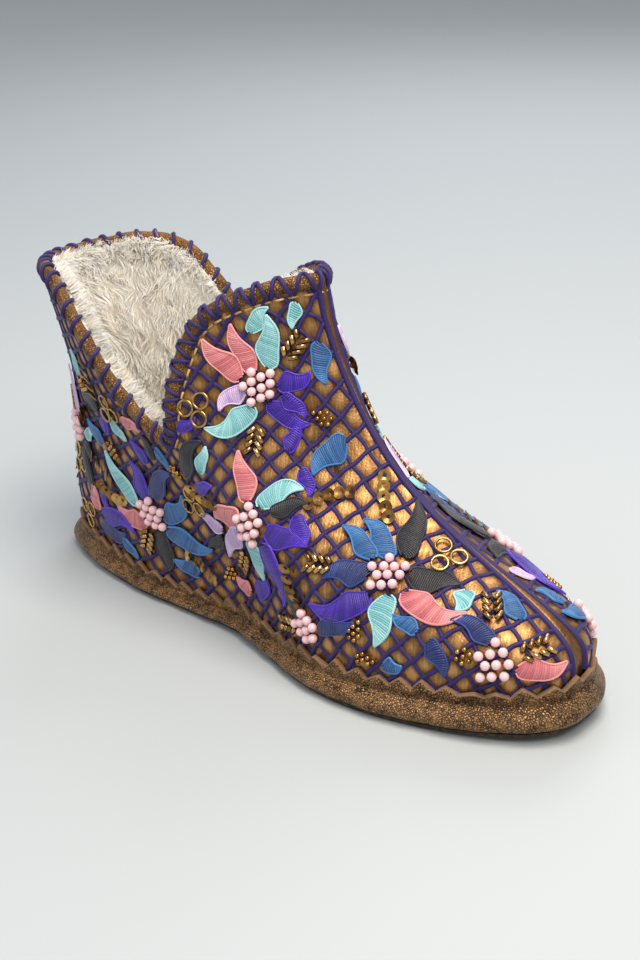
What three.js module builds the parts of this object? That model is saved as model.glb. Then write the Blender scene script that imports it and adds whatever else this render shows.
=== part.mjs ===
// Ankle bootie slipper for a left foot: a thin wrapped sole with a pinked leather rand, a hollow upper
// with a notch in each side, a rolled collar rim and a footbed.
// Millimetres. +X runs to the toe, +Y to the outer side of the foot, +Z up from the floor.
import * as THREE from 'three';

// Driving dimensions
const LENGTH = 258;          // sole, heel end to toe end
const WALL = 2.4;            // leather and hide of the upper
const GAP = 0.3;             // clearance between neighbouring pieces
const TOE_SWING = 7.5;       // how far the toe end turns to the inner side
const TOE_SPRING = 4;        // lift of the sole's toe end off the floor
const SPRING_START = 188;    // where the toe spring begins, from the heel end
const ARCH_LIFT = 1;         // lift of the sole under the waist
const ARCH_FROM = 88;
const ARCH_TO = 150;
const OUTSOLE_SHEET = 1.8;   // the sheet that meets the floor
const FOOTBED = 5;           // thickness of the footbed
const FOOTBED_SEAT = 0.6;    // clearance inside the upper's facets
const TOOTH_DEPTH = 4;       // pinked edge of the rand
const TEETH = 64;
const RIM_THICK = 5;         // rolled collar rim, across the wall
const RIM_TALL = 6;          // rolled collar rim, along the wall
const SEAM_HALF = 1.2;       // half of the flat top of the centre-front seam
const SEAM_FOOT = 3;         // half of its whole width
const SEAM_RAISE = 1;
const SEAM_RUN_OUT = 8;      // the seam flattens over this height before it reaches the rand

// Sections of the upper's outside, one row for each height above the floor.
// back and front are distances from the heel end, the next six are half-widths,
// and a smaller blunt number gives a squarer heel or toe.
const SECTION_COLUMNS = [
  'height', 'back', 'front', 'heel', 'waistIn', 'waistOut', 'ballIn', 'ballOut', 'toe',
  'heelBlunt', 'toeBlunt',
];
const SECTIONS = [
  [4, 6.5, 249, 29, 27.5, 31.5, 42.5, 42.5, 36, 0.78, 0.72],
  [18, 4, 250.5, 30.8, 28.6, 32.4, 43.5, 43.5, 37, 0.78, 0.72],
  [29, 3, 247.5, 31.4, 29, 32.7, 43, 43, 37, 0.78, 0.77],
  [42, 4.5, 225, 31.8, 29.8, 33.2, 41.5, 40.5, 34, 0.79, 1.02],
  [56, 8.5, 193, 32.8, 31.6, 34.5, 39.5, 37, 28, 0.8, 1.4],
  [72, 10.7, 169.5, 35.3, 35, 37, 36.5, 34, 24, 0.83, 1.58],
  [90, 10.3, 154.5, 38.3, 39.5, 41, 33, 31.5, 25, 0.86, 1.5],
  [110, 5.5, 143.5, 40.8, 43, 44, 30.5, 30, 27, 0.89, 1.36],
  [130, 0.5, 137.5, 42.5, 45.5, 46, 30.5, 30.5, 28, 0.91, 1.32],
  [146, -1.5, 136, 43, 46, 46.5, 30.5, 30.5, 28, 0.91, 1.32],
];
// Shares of a section's length where the half-widths are measured
const WIDTH_STATIONS = [0, 0.2, 0.45, 0.7, 1];

// Middle line of the collar rim on one side, from the centre back to the centre front:
// degrees around the section and height above the floor.
const COLLAR_COLUMNS = ['around', 'height'];
const COLLAR = [
  [0, 122.5], [28, 124], [48, 124.5], [57, 121], [64, 112], [71, 97.5], [78, 84], [84, 75.5],
  [88.5, 73], [93, 77], [97, 86], [103, 99.5], [109.5, 112], [117, 121.5], [133, 129.5],
  [156, 134.5], [180, 135.5],
];

// Tip height of the rand's teeth along the shoe, from the heel end
const RAND_COLUMNS = ['station', 'tip'];
const RAND_TIPS = [[0, 17], [45, 12.5], [102, 11], [175, 15.5], [258, 18.5]];
// Cross-section of the rand: reach outside the upper, and height as a share of the way
// from the outsole sheet to the foot of a tooth. Outer face going up, then inner face going down.
const RAND_PROFILE_COLUMNS = ['reach', 'share'];
const RAND_OUTER = [[4.2, 0], [5.9, 0.12], [6.5, 0.3], [5.7, 0.5], [3.5, 0.7]];
const RAND_INNER = [[0.9, 0.62], [4.4, 0.34], [2.7, 0]];
const RAND_LEATHER = 1.7;    // thickness at the teeth
const RAND_SEAT = 0.55;      // clearance over the upper's facets
const FEATHER_SHARE = 0.5;   // height of the upper's lower edge on the same scale
// Side of the outsole from the floor up: reach outside the upper and height in the same way;
// the first three rows are the sheet, in millimetres.
const SHEET_RINGS = [[3.4, 0], [4.4, 0.6], [4.4, OUTSOLE_SHEET]];
const CORE_RINGS = [[2.2, 0], [3.8, 0.3], [1.2, FEATHER_SHARE]];

// Mesh density
const COLLAR_STEPS = 42;     // columns of the upper on each side, before the seam's own
const WALL_ROWS = 12;        // rows of the upper from the sole to the collar
const ROW_CROWDING = 1.2;    // gathers the rows towards the sole
const OUTLINE_STEPS = 34;    // columns of the outsole on each side
const FOOTBED_STEPS = 30;
const RIM_CORNERS = 8;
const ANGLE_STEP = 0.012;    // finite differences on the upper, radians
const HEIGHT_STEP = 0.5;

function column(rows, names, name) {
  const at = names.indexOf(name);
  return rows.map((row) => row[at]);
}

// Natural cubic spline through (xs, ys), straight beyond both ends
function naturalSpline(xs, ys) {
  const last = xs.length - 1;
  const bend = new Array(last + 1).fill(0);
  const sweep = new Array(last + 1).fill(0);
  for (let i = 1; i < last; i += 1) {
    const before = xs[i] - xs[i - 1];
    const after = xs[i + 1] - xs[i];
    const pivot = 2 * (before + after) - before * sweep[i - 1];
    sweep[i] = after / pivot;
    const jump = (ys[i + 1] - ys[i]) / after - (ys[i] - ys[i - 1]) / before;
    bend[i] = (6 * jump - before * bend[i - 1]) / pivot;
  }
  for (let i = last - 1; i > 0; i -= 1) bend[i] -= sweep[i] * bend[i + 1];
  const slopeAt = (i, end) => {
    const step = xs[i + 1] - xs[i];
    const chord = (ys[i + 1] - ys[i]) / step;
    return end ? chord + (step * bend[i]) / 6 : chord - (step * bend[i + 1]) / 6;
  };
  return (x) => {
    if (x <= xs[0]) return ys[0] + slopeAt(0, false) * (x - xs[0]);
    if (x >= xs[last]) return ys[last] + slopeAt(last - 1, true) * (x - xs[last]);
    const i = xs.findIndex((value) => value > x) - 1;
    const step = xs[i + 1] - xs[i];
    const a = (xs[i + 1] - x) / step;
    const b = 1 - a;
    const curve = ((a ** 3 - a) * bend[i] + (b ** 3 - b) * bend[i + 1]) * (step * step) / 6;
    return a * ys[i] + b * ys[i + 1] + curve;
  };
}

// Cubic curve through values at the width stations
function throughStations(values, share) {
  const at = WIDTH_STATIONS;
  const end = at.length - 1;
  const slope = at.map((_, i) => {
    const low = Math.max(i - 1, 0);
    const high = Math.min(i + 1, end);
    return (values[high] - values[low]) / (at[high] - at[low]);
  });
  let i = 0;
  while (i < end - 1 && share >= at[i + 1]) i += 1;
  const span = at[i + 1] - at[i];
  const t = (share - at[i]) / span;
  const rise = t * t * (3 - 2 * t);
  return values[i] * (1 - rise) + values[i + 1] * rise
    + span * (slope[i] * t * (1 - t) ** 2 - slope[i + 1] * t * t * (1 - t));
}

const sectionSplines = Object.fromEntries(SECTION_COLUMNS.slice(1).map((name) => [
  name,
  naturalSpline(column(SECTIONS, SECTION_COLUMNS, 'height'), column(SECTIONS, SECTION_COLUMNS, name)),
]));

const randTip = naturalSpline(
  column(RAND_TIPS, RAND_COLUMNS, 'station'),
  column(RAND_TIPS, RAND_COLUMNS, 'tip'),
);
const toothFoot = (station) => randTip(station) - TOOTH_DEPTH;

// Height at a share of the way from the outsole sheet to the foot of a tooth
function soleHeight(station, share) {
  return OUTSOLE_SHEET + share * (toothFoot(station) - OUTSOLE_SHEET);
}

// Lift of the sole off the floor along the shoe: arch and toe spring
function soleLift(station) {
  if (station > SPRING_START) {
    return TOE_SPRING * ((station - SPRING_START) / (LENGTH - SPRING_START)) ** 2;
  }
  if (station <= ARCH_FROM || station >= ARCH_TO) return 0;
  return ARCH_LIFT * Math.sin((Math.PI * (station - ARCH_FROM)) / (ARCH_TO - ARCH_FROM)) ** 2;
}

const SPRING_FULL = 14;      // the upper takes the sole's whole lift up to this height
const SPRING_FADE = 50;      // and loses it over this much more

// Point of the upper's outside. around runs from the centre back (0) over the inner side to the
// centre front (half a turn) and back over the outer side.
function upperPoint(around, height) {
  const turn = THREE.MathUtils.euclideanModulo(around, 2 * Math.PI);
  const inner = turn <= Math.PI;
  const size = {};
  for (const name of Object.keys(sectionSplines)) size[name] = sectionSplines[name](height);
  const share = (1 - Math.cos(turn)) / 2;
  const waist = inner ? size.waistIn : size.waistOut;
  const ball = inner ? size.ballIn : size.ballOut;
  const halfWidth = throughStations([size.heel, size.heel, waist, ball, size.toe], share);
  const blunt = THREE.MathUtils.lerp(size.heelBlunt, size.toeBlunt, share);
  const reach = halfWidth * Math.abs(Math.sin(turn)) ** blunt;
  const station = THREE.MathUtils.lerp(size.back, size.front, share);
  const swing = -TOE_SWING * Math.max(0, (station / LENGTH - 0.35) / 0.65) ** 2;
  const fade = THREE.MathUtils.clamp(1 - (height - SPRING_FULL) / SPRING_FADE, 0, 1);
  return new THREE.Vector3(
    station - LENGTH / 2,
    swing + (inner ? -reach : reach),
    height + soleLift(station) * fade,
  );
}

const stationOf = (point) => point.x + LENGTH / 2;

// Directions along and up the upper, and its outward normal
function upperFrame(around, height) {
  const along = upperPoint(around + ANGLE_STEP, height).sub(upperPoint(around - ANGLE_STEP, height));
  const up = upperPoint(around, height + HEIGHT_STEP).sub(upperPoint(around, height - HEIGHT_STEP));
  along.divideScalar(2 * ANGLE_STEP);
  up.divideScalar(2 * HEIGHT_STEP);
  return { along, up, normal: up.clone().cross(along).normalize().negate() };
}

function offsetPoint(around, height, reach) {
  return upperPoint(around, height).addScaledVector(upperFrame(around, height).normal, reach);
}

// Angles around the section that cut its outline into equal lengths, heel to toe on the inner side
const OUTLINE_HEIGHT = 9;
function equalAngles(steps, height = OUTLINE_HEIGHT) {
  const fine = 720;
  const lengths = [0];
  for (let i = 1; i <= fine; i += 1) {
    const from = upperPoint((Math.PI * (i - 1)) / fine, height);
    lengths.push(lengths[i - 1] + from.distanceTo(upperPoint((Math.PI * i) / fine, height)));
  }
  return steps.map((share) => {
    const wanted = share * lengths[fine];
    const i = Math.min(Math.max(lengths.findIndex((value) => value >= wanted), 1), fine);
    const part = (wanted - lengths[i - 1]) / (lengths[i] - lengths[i - 1]);
    return (Math.PI * (i - 1 + part)) / fine;
  });
}

const evenSteps = (count) => Array.from({ length: count + 1 }, (_, i) => i / count);

// Both sides of the shoe as one loop of angles
const wholeLoop = (angles) => [
  ...angles,
  ...angles.slice(1, -1).reverse().map((angle) => 2 * Math.PI - angle),
];

// Collar line by share of its length, as an angle and a height on the inner side
const collarLine = (() => {
  const angles = column(COLLAR, COLLAR_COLUMNS, 'around').map(THREE.MathUtils.degToRad);
  const heights = column(COLLAR, COLLAR_COLUMNS, 'height');
  const lengths = [0];
  for (let i = 1; i < COLLAR.length; i += 1) {
    const from = upperPoint(angles[i - 1], heights[i - 1]);
    lengths.push(lengths[i - 1] + from.distanceTo(upperPoint(angles[i], heights[i])));
  }
  const whole = lengths[lengths.length - 1];
  const angleAt = naturalSpline(lengths, angles);
  const heightAt = naturalSpline(lengths, heights);
  return {
    length: whole,
    at: (share) => ({ around: angleAt(share * whole), height: heightAt(share * whole) }),
  };
})();

// Columns of the upper: shares of the collar line on the inner side, with the seam's edges added
const collarShares = (() => {
  const shares = evenSteps(COLLAR_STEPS);
  const front = shares.pop();
  const edges = [SEAM_FOOT, SEAM_HALF].map((half) => front - half / collarLine.length);
  return [...shares, ...edges, front];
})();

// One entry for each column of the upper, right round the collar
const collarColumns = (() => {
  const feet = equalAngles(collarShares);
  const inner = collarShares.map((share, i) => ({
    ...collarLine.at(share),
    foot: feet[i],
    raised: share * collarLine.length > collarLine.length - (SEAM_HALF + SEAM_FOOT) / 2,
  }));
  const outer = inner.slice(1, -1).reverse().map((entry) => ({
    ...entry,
    around: 2 * Math.PI - entry.around,
    foot: 2 * Math.PI - entry.foot,
  }));
  return [...inner, ...outer];
})();

// Frame of the rim at each column: middle of the wall, across the wall and away from the wall's edge
const rimFrames = collarColumns.map((entry, i) => {
  const count = collarColumns.length;
  const before = collarColumns[(i + count - 1) % count];
  const after = collarColumns[(i + 1) % count];
  const tangent = upperPoint(after.around, after.height)
    .sub(upperPoint(before.around, before.height)).normalize();
  const { along, up, normal } = upperFrame(entry.around, entry.height);
  const away = normal.clone().cross(tangent).normalize();
  return { middle: offsetPoint(entry.around, entry.height, -WALL / 2), normal, away, along, up };
});

// The wall's own top edge lies under the rim: step back from the collar line within the surface
const wallTops = collarColumns.map((entry, i) => {
  const { along, up, away } = rimFrames[i];
  const back = away.clone().multiplyScalar(-(RIM_TALL / 2 + GAP));
  const aa = along.dot(along);
  const bb = up.dot(up);
  const ab = along.dot(up);
  const det = aa * bb - ab * ab;
  const pa = back.dot(along);
  const pb = back.dot(up);
  return {
    around: entry.around + (pa * bb - pb * ab) / det,
    height: entry.height + (pb * aa - pa * ab) / det,
  };
});

// Closed mesh from a grid of points; loop closes the columns, ring closes each column's own points
function solidFrom(points, triangles, name, material) {
  const geometry = new THREE.BufferGeometry();
  geometry.setAttribute(
    'position',
    new THREE.Float32BufferAttribute(points.flatMap((p) => [p.x, p.y, p.z]), 3),
  );
  const volume = triangles.reduce(
    (sum, [a, b, c]) => sum + points[a].dot(points[b].clone().cross(points[c])),
    0,
  );
  const outward = volume > 0 ? triangles : triangles.map(([a, b, c]) => [a, c, b]);
  geometry.setIndex(outward.flat());
  geometry.computeVertexNormals();
  const mesh = new THREE.Mesh(geometry, material);
  mesh.name = name;
  return mesh;
}

// A ring: every column is a closed profile with the same number of points
function ringSolid(columns, name, material) {
  const tall = columns[0].length;
  const triangles = [];
  for (let i = 0; i < columns.length; i += 1) {
    const next = (i + 1) % columns.length;
    for (let k = 0; k < tall; k += 1) {
      const up = (k + 1) % tall;
      const [a, b, c, d] = [i * tall + k, next * tall + k, next * tall + up, i * tall + up];
      triangles.push([a, b, c], [a, c, d]);
    }
  }
  return solidFrom(columns.flat(), triangles, name, material);
}

// A slab: outlines stacked from the floor up, closed by strips across the shoe at both ends
function slabSolid(outlines, name, material) {
  const wide = outlines[0].length;
  const half = wide / 2;
  const triangles = [];
  for (let k = 0; k + 1 < outlines.length; k += 1) {
    for (let i = 0; i < wide; i += 1) {
      const next = (i + 1) % wide;
      const [a, b] = [k * wide + i, k * wide + next];
      triangles.push([a, b, b + wide], [a, b + wide, a + wide]);
    }
  }
  const mirror = (i) => (wide - i) % wide;
  const cap = (start, flip) => {
    for (let i = 0; i < half; i += 1) {
      const quad = [i, i + 1, mirror(i + 1), mirror(i)].map((value) => start + value);
      const faces = [[quad[0], quad[1], quad[2]], [quad[0], quad[2], quad[3]]];
      for (const face of faces) {
        if (new Set(face).size === 3) triangles.push(flip ? [...face].reverse() : face);
      }
    }
  };
  cap(0, true);
  cap((outlines.length - 1) * wide, false);
  return solidFrom(outlines.flat(), triangles, name, material);
}

// Point of the sole at a reach outside the upper's outline and a height above the sole's own floor line
function solePoint(around, reach, height) {
  const edge = upperPoint(around, OUTLINE_HEIGHT);
  const { normal } = upperFrame(around, OUTLINE_HEIGHT);
  const flat = new THREE.Vector2(normal.x, normal.y).normalize();
  return new THREE.Vector3(
    edge.x + flat.x * reach,
    edge.y + flat.y * reach,
    height + soleLift(stationOf(edge)),
  );
}

const leather = (color, roughness, metalness) => new THREE.MeshStandardMaterial({
  color, roughness, metalness,
});
const SOLE_LEATHER = leather(0x3b2a20, 0.8, 0);
const RAND_BRONZE = leather(0x8a5f3c, 0.45, 0.55);
const UPPER_LATTICE = leather(0x6b4a4c, 0.5, 0.4);
const RIM_PURPLE = leather(0x4a3568, 0.7, 0.1);
const SHEARLING = leather(0xe9dfcb, 0.95, 0);

function makeOutsole() {
  const loop = wholeLoop(equalAngles(evenSteps(OUTLINE_STEPS)));
  const ring = (reach, heightAt) => loop.map((around) => {
    const station = stationOf(upperPoint(around, OUTLINE_HEIGHT));
    return solePoint(around, reach, heightAt(station));
  });
  const sheet = SHEET_RINGS.map(([reach, height]) => ring(reach, () => height));
  const core = CORE_RINGS.map(([reach, share]) => ring(reach, (station) => soleHeight(station, share)));
  return slabSolid([...sheet, ...core], 'outsole', SOLE_LEATHER);
}

function makeRand() {
  const loop = wholeLoop(equalAngles(evenSteps(TEETH)));
  const columns = loop.map((around, i) => {
    const station = stationOf(upperPoint(around, OUTLINE_HEIGHT));
    const top = i % 2 === 0 ? toothFoot(station) : randTip(station);
    const low = ([reach, share]) => {
      const seat = share === 0 ? GAP : 0;
      return solePoint(around, reach, soleHeight(station, share) + seat);
    };
    const middle = (toothFoot(station) + soleHeight(station, RAND_INNER[0][1])) / 2;
    return [
      ...RAND_OUTER.map(low),
      offsetPoint(around, top, RAND_SEAT + RAND_LEATHER),
      offsetPoint(around, top, RAND_SEAT),
      offsetPoint(around, middle, RAND_SEAT),
      ...RAND_INNER.map(low),
    ];
  });
  return ringSolid(columns, 'rand', RAND_BRONZE);
}

function makeUpper() {
  const columns = collarColumns.map((entry, i) => {
    const station = stationOf(upperPoint(entry.foot, OUTLINE_HEIGHT));
    const foot = { around: entry.foot, height: soleHeight(station, FEATHER_SHARE) + GAP };
    const outer = [];
    const inner = [];
    for (let row = 0; row <= WALL_ROWS; row += 1) {
      const share = (row / WALL_ROWS) ** ROW_CROWDING;
      const around = THREE.MathUtils.lerp(foot.around, wallTops[i].around, share);
      const height = THREE.MathUtils.lerp(foot.height, wallTops[i].height, share);
      const clear = THREE.MathUtils.smoothstep(height, randTip(station), randTip(station) + SEAM_RUN_OUT);
      outer.push(offsetPoint(around, height, entry.raised ? SEAM_RAISE * clear : 0));
      inner.unshift(offsetPoint(around, height, -WALL));
    }
    inner[WALL_ROWS].setZ(outer[0].z);
    return [...outer, ...inner];
  });
  return ringSolid(columns, 'upper', UPPER_LATTICE);
}

function makeCollarRim() {
  const columns = rimFrames.map(({ middle, normal, away }) => {
    const profile = [];
    for (let corner = 0; corner < RIM_CORNERS; corner += 1) {
      const angle = (2 * Math.PI * (corner + 0.5)) / RIM_CORNERS;
      const across = (Math.cos(angle) / Math.cos(Math.PI / RIM_CORNERS)) * (RIM_THICK / 2);
      const out = (Math.sin(angle) / Math.cos(Math.PI / RIM_CORNERS)) * (RIM_TALL / 2);
      profile.push(middle.clone().addScaledVector(normal, across).addScaledVector(away, out));
    }
    return profile;
  });
  return ringSolid(columns, 'collar_rim', RIM_PURPLE);
}

function makeFootbed() {
  const loop = wholeLoop(equalAngles(evenSteps(FOOTBED_STEPS)));
  const ring = (above) => loop.map((around) => {
    const station = stationOf(upperPoint(around, OUTLINE_HEIGHT));
    const height = soleHeight(station, FEATHER_SHARE) + GAP + above;
    return offsetPoint(around, height, -(WALL + FOOTBED_SEAT)).setZ(height + soleLift(station));
  });
  return slabSolid([ring(0), ring(FOOTBED / 2), ring(FOOTBED)], 'footbed', SHEARLING);
}

// The origin is the middle of the footprint, on the floor
const slipper = new THREE.Group();
slipper.name = 'bootie_slipper';
slipper.add(makeOutsole(), makeRand(), makeUpper(), makeCollarRim(), makeFootbed());
const middle = new THREE.Box3().setFromObject(slipper).getCenter(new THREE.Vector3());
slipper.position.set(-middle.x, -middle.y, 0);

export default slipper;
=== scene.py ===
"""Looks of the left bootie slipper: quilted bronze leather under a purple cord lattice, stitched and
beaded flower sprays, a whipped collar rim, a pinked bronze rand and a cream shearling lining.

Shapes are worked out in millimetres from the same tables as the solids, and turned to metres when a
mesh is made. +X runs to the toe, +Y to the outer side of the foot, +Z up.
"""

import math

import bpy
import numpy as np
from mathutils import Matrix, Vector
from mathutils.bvhtree import BVHTree


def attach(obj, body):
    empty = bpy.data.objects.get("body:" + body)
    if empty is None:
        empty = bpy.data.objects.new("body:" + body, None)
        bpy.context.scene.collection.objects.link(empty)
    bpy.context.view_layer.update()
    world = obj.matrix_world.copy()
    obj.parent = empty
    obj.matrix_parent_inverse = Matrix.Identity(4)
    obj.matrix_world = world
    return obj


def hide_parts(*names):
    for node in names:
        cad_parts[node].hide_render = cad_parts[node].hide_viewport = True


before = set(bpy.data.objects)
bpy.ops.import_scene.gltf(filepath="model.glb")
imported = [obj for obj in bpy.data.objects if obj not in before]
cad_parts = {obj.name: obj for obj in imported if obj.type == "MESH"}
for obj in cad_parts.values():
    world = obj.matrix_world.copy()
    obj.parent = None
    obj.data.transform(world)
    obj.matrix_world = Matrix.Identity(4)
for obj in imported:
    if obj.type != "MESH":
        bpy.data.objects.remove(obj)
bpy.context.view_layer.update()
bpy.ops.object.select_all(action="DESELECT")
rng = np.random.default_rng(38)

MM = 0.001

# The last and the sole, as in the solids
LENGTH = 258
WALL = 2.4
TOE_SWING = 7.5
SWING_START = 0.35         # share of the length where the toe begins to turn
TOE_SPRING = 4
SPRING_START = 188
SPRING_FULL = 14           # the toe spring lifts the upper in full up to this height
SPRING_FADE = 50           # and fades out over this much more
ARCH_LIFT = 1
ARCH_FROM, ARCH_TO = 88, 150
OUTSOLE_SHEET = 1.8
TOOTH_DEPTH = 4
TEETH = 64
RIM_THICK = 5
RIM_TALL = 6
FEATHER_SHARE = 0.5        # lower edge of the upper, as a share of the way up to the teeth
FOOTBED = 5
OUTLINE_HEIGHT = 9         # where the outline of the sole is taken
FOOTPRINT_SHIFT = np.array([1.418, 1.690, 0.0])    # puts the origin in the middle of the footprint
TURN_STEP, HEIGHT_STEP = 0.012, 0.5                # finite differences on the wall

SECTION_COLUMNS = (
    "height", "back", "front", "heel", "waist_in", "waist_out", "ball_in", "ball_out", "toe",
    "heel_blunt", "toe_blunt",
)
SECTIONS = np.array([
    [4, 6.5, 249, 29, 27.5, 31.5, 42.5, 42.5, 36, 0.78, 0.72],
    [18, 4, 250.5, 30.8, 28.6, 32.4, 43.5, 43.5, 37, 0.78, 0.72],
    [29, 3, 247.5, 31.4, 29, 32.7, 43, 43, 37, 0.78, 0.77],
    [42, 4.5, 225, 31.8, 29.8, 33.2, 41.5, 40.5, 34, 0.79, 1.02],
    [56, 8.5, 193, 32.8, 31.6, 34.5, 39.5, 37, 28, 0.8, 1.4],
    [72, 10.7, 169.5, 35.3, 35, 37, 36.5, 34, 24, 0.83, 1.58],
    [90, 10.3, 154.5, 38.3, 39.5, 41, 33, 31.5, 25, 0.86, 1.5],
    [110, 5.5, 143.5, 40.8, 43, 44, 30.5, 30, 27, 0.89, 1.36],
    [130, 0.5, 137.5, 42.5, 45.5, 46, 30.5, 30.5, 28, 0.91, 1.32],
    [146, -1.5, 136, 43, 46, 46.5, 30.5, 30.5, 28, 0.91, 1.32],
])
WIDTH_STATIONS = np.array([0, 0.2, 0.45, 0.7, 1])
COLLAR = np.array([
    [0, 122.5], [28, 124], [48, 124.5], [57, 121], [64, 112], [71, 97.5], [78, 84], [84, 75.5],
    [88.5, 73], [93, 77], [97, 86], [103, 99.5], [109.5, 112], [117, 121.5], [133, 129.5],
    [156, 134.5], [180, 135.5],
])
RAND_TIPS = np.array([[0, 17], [45, 12.5], [102, 11], [175, 15.5], [258, 18.5]])
RAND_OUTER = np.array([[4.2, 0], [5.9, 0.12], [6.5, 0.3], [5.7, 0.5], [3.5, 0.7]])
RAND_INNER = np.array([[0.9, 0.62], [4.4, 0.34], [2.7, 0]])


# Curves and surfaces

def natural_spline(xs, ys):
    """Natural cubic spline through (xs, ys), straight beyond both ends."""
    xs, ys = np.asarray(xs, float), np.asarray(ys, float)
    gap = np.diff(xs)
    chord = np.diff(ys) / gap
    system = np.eye(len(xs))
    right = np.zeros(len(xs))
    for i in range(1, len(xs) - 1):
        system[i, i - 1:i + 2] = gap[i - 1], 2 * (gap[i - 1] + gap[i]), gap[i]
        right[i] = 6 * (chord[i] - chord[i - 1])
    bend = np.linalg.solve(system, right)
    first = chord[0] - gap[0] * bend[1] / 6
    last = chord[-1] + gap[-1] * bend[-2] / 6

    def value(x):
        x = np.asarray(x, float)
        inside = np.clip(x, xs[0], xs[-1])
        i = np.clip(np.searchsorted(xs, inside, side="right") - 1, 0, len(xs) - 2)
        a = (xs[i + 1] - inside) / gap[i]
        b = 1 - a
        curve = ((a**3 - a) * bend[i] + (b**3 - b) * bend[i + 1]) * gap[i] ** 2 / 6
        beyond = np.minimum(x - xs[0], 0) * first + np.maximum(x - xs[-1], 0) * last
        return a * ys[i] + b * ys[i + 1] + curve + beyond

    return value


def smoothstep(low, high, x):
    t = np.clip((x - low) / (high - low), 0, 1)
    return t * t * (3 - 2 * t)


def unit(v):
    return v / np.maximum(np.linalg.norm(v, axis=-1, keepdims=True), 1e-9)


section_splines = {
    name: natural_spline(SECTIONS[:, 0], SECTIONS[:, i])
    for i, name in enumerate(SECTION_COLUMNS) if i
}
rand_tip = natural_spline(RAND_TIPS[:, 0], RAND_TIPS[:, 1])


def tooth_foot(station):
    return rand_tip(station) - TOOTH_DEPTH


def sole_height(station, share):
    return OUTSOLE_SHEET + share * (tooth_foot(station) - OUTSOLE_SHEET)


def sole_lift(station):
    """Arch and toe spring of the sole along the shoe."""
    spring = TOE_SPRING * (np.maximum(station - SPRING_START, 0) / (LENGTH - SPRING_START)) ** 2
    arch = np.clip((station - ARCH_FROM) / (ARCH_TO - ARCH_FROM), 0, 1)
    return spring + ARCH_LIFT * np.sin(np.pi * arch) ** 2


def through_stations(values, share):
    """Cubic curve through half-widths given at the width stations."""
    values = np.stack(np.broadcast_arrays(*values))
    at = WIDTH_STATIONS
    last = len(at) - 1
    slope = np.stack([
        (values[min(i + 1, last)] - values[max(i - 1, 0)]) / (at[min(i + 1, last)] - at[max(i - 1, 0)])
        for i in range(last + 1)
    ])
    i = np.clip(np.searchsorted(at, share, side="right") - 1, 0, last - 1)

    def pick(table, index):
        return np.take_along_axis(table, index[None], 0)[0]

    span = at[i + 1] - at[i]
    t = (share - at[i]) / span
    rise = t * t * (3 - 2 * t)
    return (
        pick(values, i) * (1 - rise) + pick(values, i + 1) * rise
        + span * (pick(slope, i) * t * (1 - t) ** 2 - pick(slope, i + 1) * t * t * (1 - t))
    )


def upper_point(around, height):
    """Outside of the upper: around is 0 at the centre back, half a turn at the centre front."""
    around, height = np.broadcast_arrays(np.asarray(around, float), np.asarray(height, float))
    turn = np.mod(around, 2 * np.pi)
    inner = turn <= np.pi
    size = {name: spline(height) for name, spline in section_splines.items()}
    share = (1 - np.cos(turn)) / 2
    waist = np.where(inner, size["waist_in"], size["waist_out"])
    ball = np.where(inner, size["ball_in"], size["ball_out"])
    half_width = through_stations([size["heel"], size["heel"], waist, ball, size["toe"]], share)
    blunt = size["heel_blunt"] + (size["toe_blunt"] - size["heel_blunt"]) * share
    reach = half_width * np.abs(np.sin(turn)) ** blunt
    station = size["back"] + (size["front"] - size["back"]) * share
    swing = -TOE_SWING * np.maximum((station / LENGTH - SWING_START) / (1 - SWING_START), 0) ** 2
    fade = np.clip(1 - (height - SPRING_FULL) / SPRING_FADE, 0, 1)
    side = np.where(inner, -1, 1)
    return FOOTPRINT_SHIFT + np.stack([
        station - LENGTH / 2, swing + side * reach, height + sole_lift(station) * fade,
    ], -1)


def station_of(point):
    return point[..., 0] - FOOTPRINT_SHIFT[0] + LENGTH / 2


def upper_normal(around, height):
    along = upper_point(around + TURN_STEP, height) - upper_point(around - TURN_STEP, height)
    up = upper_point(around, height + HEIGHT_STEP) - upper_point(around, height - HEIGHT_STEP)
    return unit(np.cross(along, up))


def make_outline(fine=2000):
    """Angles on the inner half of the sole's outline, and the way to each from the centre back."""
    angles = np.linspace(0, np.pi, fine)
    steps = np.linalg.norm(np.diff(upper_point(angles, OUTLINE_HEIGHT), axis=0), axis=1)
    return angles, np.concatenate([[0], np.cumsum(steps)])


outline_angles, outline_ways = make_outline()
OUTLINE_LENGTH = outline_ways[-1]


def equal_angles(shares):
    """Angles that cut the half outline at shares of its length."""
    return np.interp(np.asarray(shares) * OUTLINE_LENGTH, outline_ways, outline_angles)


def make_collar_line():
    angles, heights = np.radians(COLLAR[:, 0]), COLLAR[:, 1]
    steps = np.linalg.norm(np.diff(upper_point(angles, heights), axis=0), axis=1)
    lengths = np.concatenate([[0], np.cumsum(steps)])
    return natural_spline(lengths, angles), natural_spline(lengths, heights), lengths[-1]


collar_angle, collar_height, COLLAR_LENGTH = make_collar_line()
ROW_CROWDING = 1.2
INNER, OUTER = 0, 1


def wall_place(half, column, row):
    """Angle and height on the wall: column 0 to 1 from centre back to centre front, row 0 to 1 from
    the sole up to the collar line, on the inner or the outer half."""
    column, row = np.broadcast_arrays(np.asarray(column, float), np.asarray(row, float))
    foot_angle = equal_angles(column)
    foot_height = sole_height(station_of(upper_point(foot_angle, OUTLINE_HEIGHT)), FEATHER_SHARE)
    climb = np.abs(row) ** ROW_CROWDING
    around = foot_angle + (collar_angle(column * COLLAR_LENGTH) - foot_angle) * climb
    height = foot_height + (collar_height(column * COLLAR_LENGTH) - foot_height) * climb
    return (around if half == INNER else 2 * np.pi - around), height


# Meshes

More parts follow.
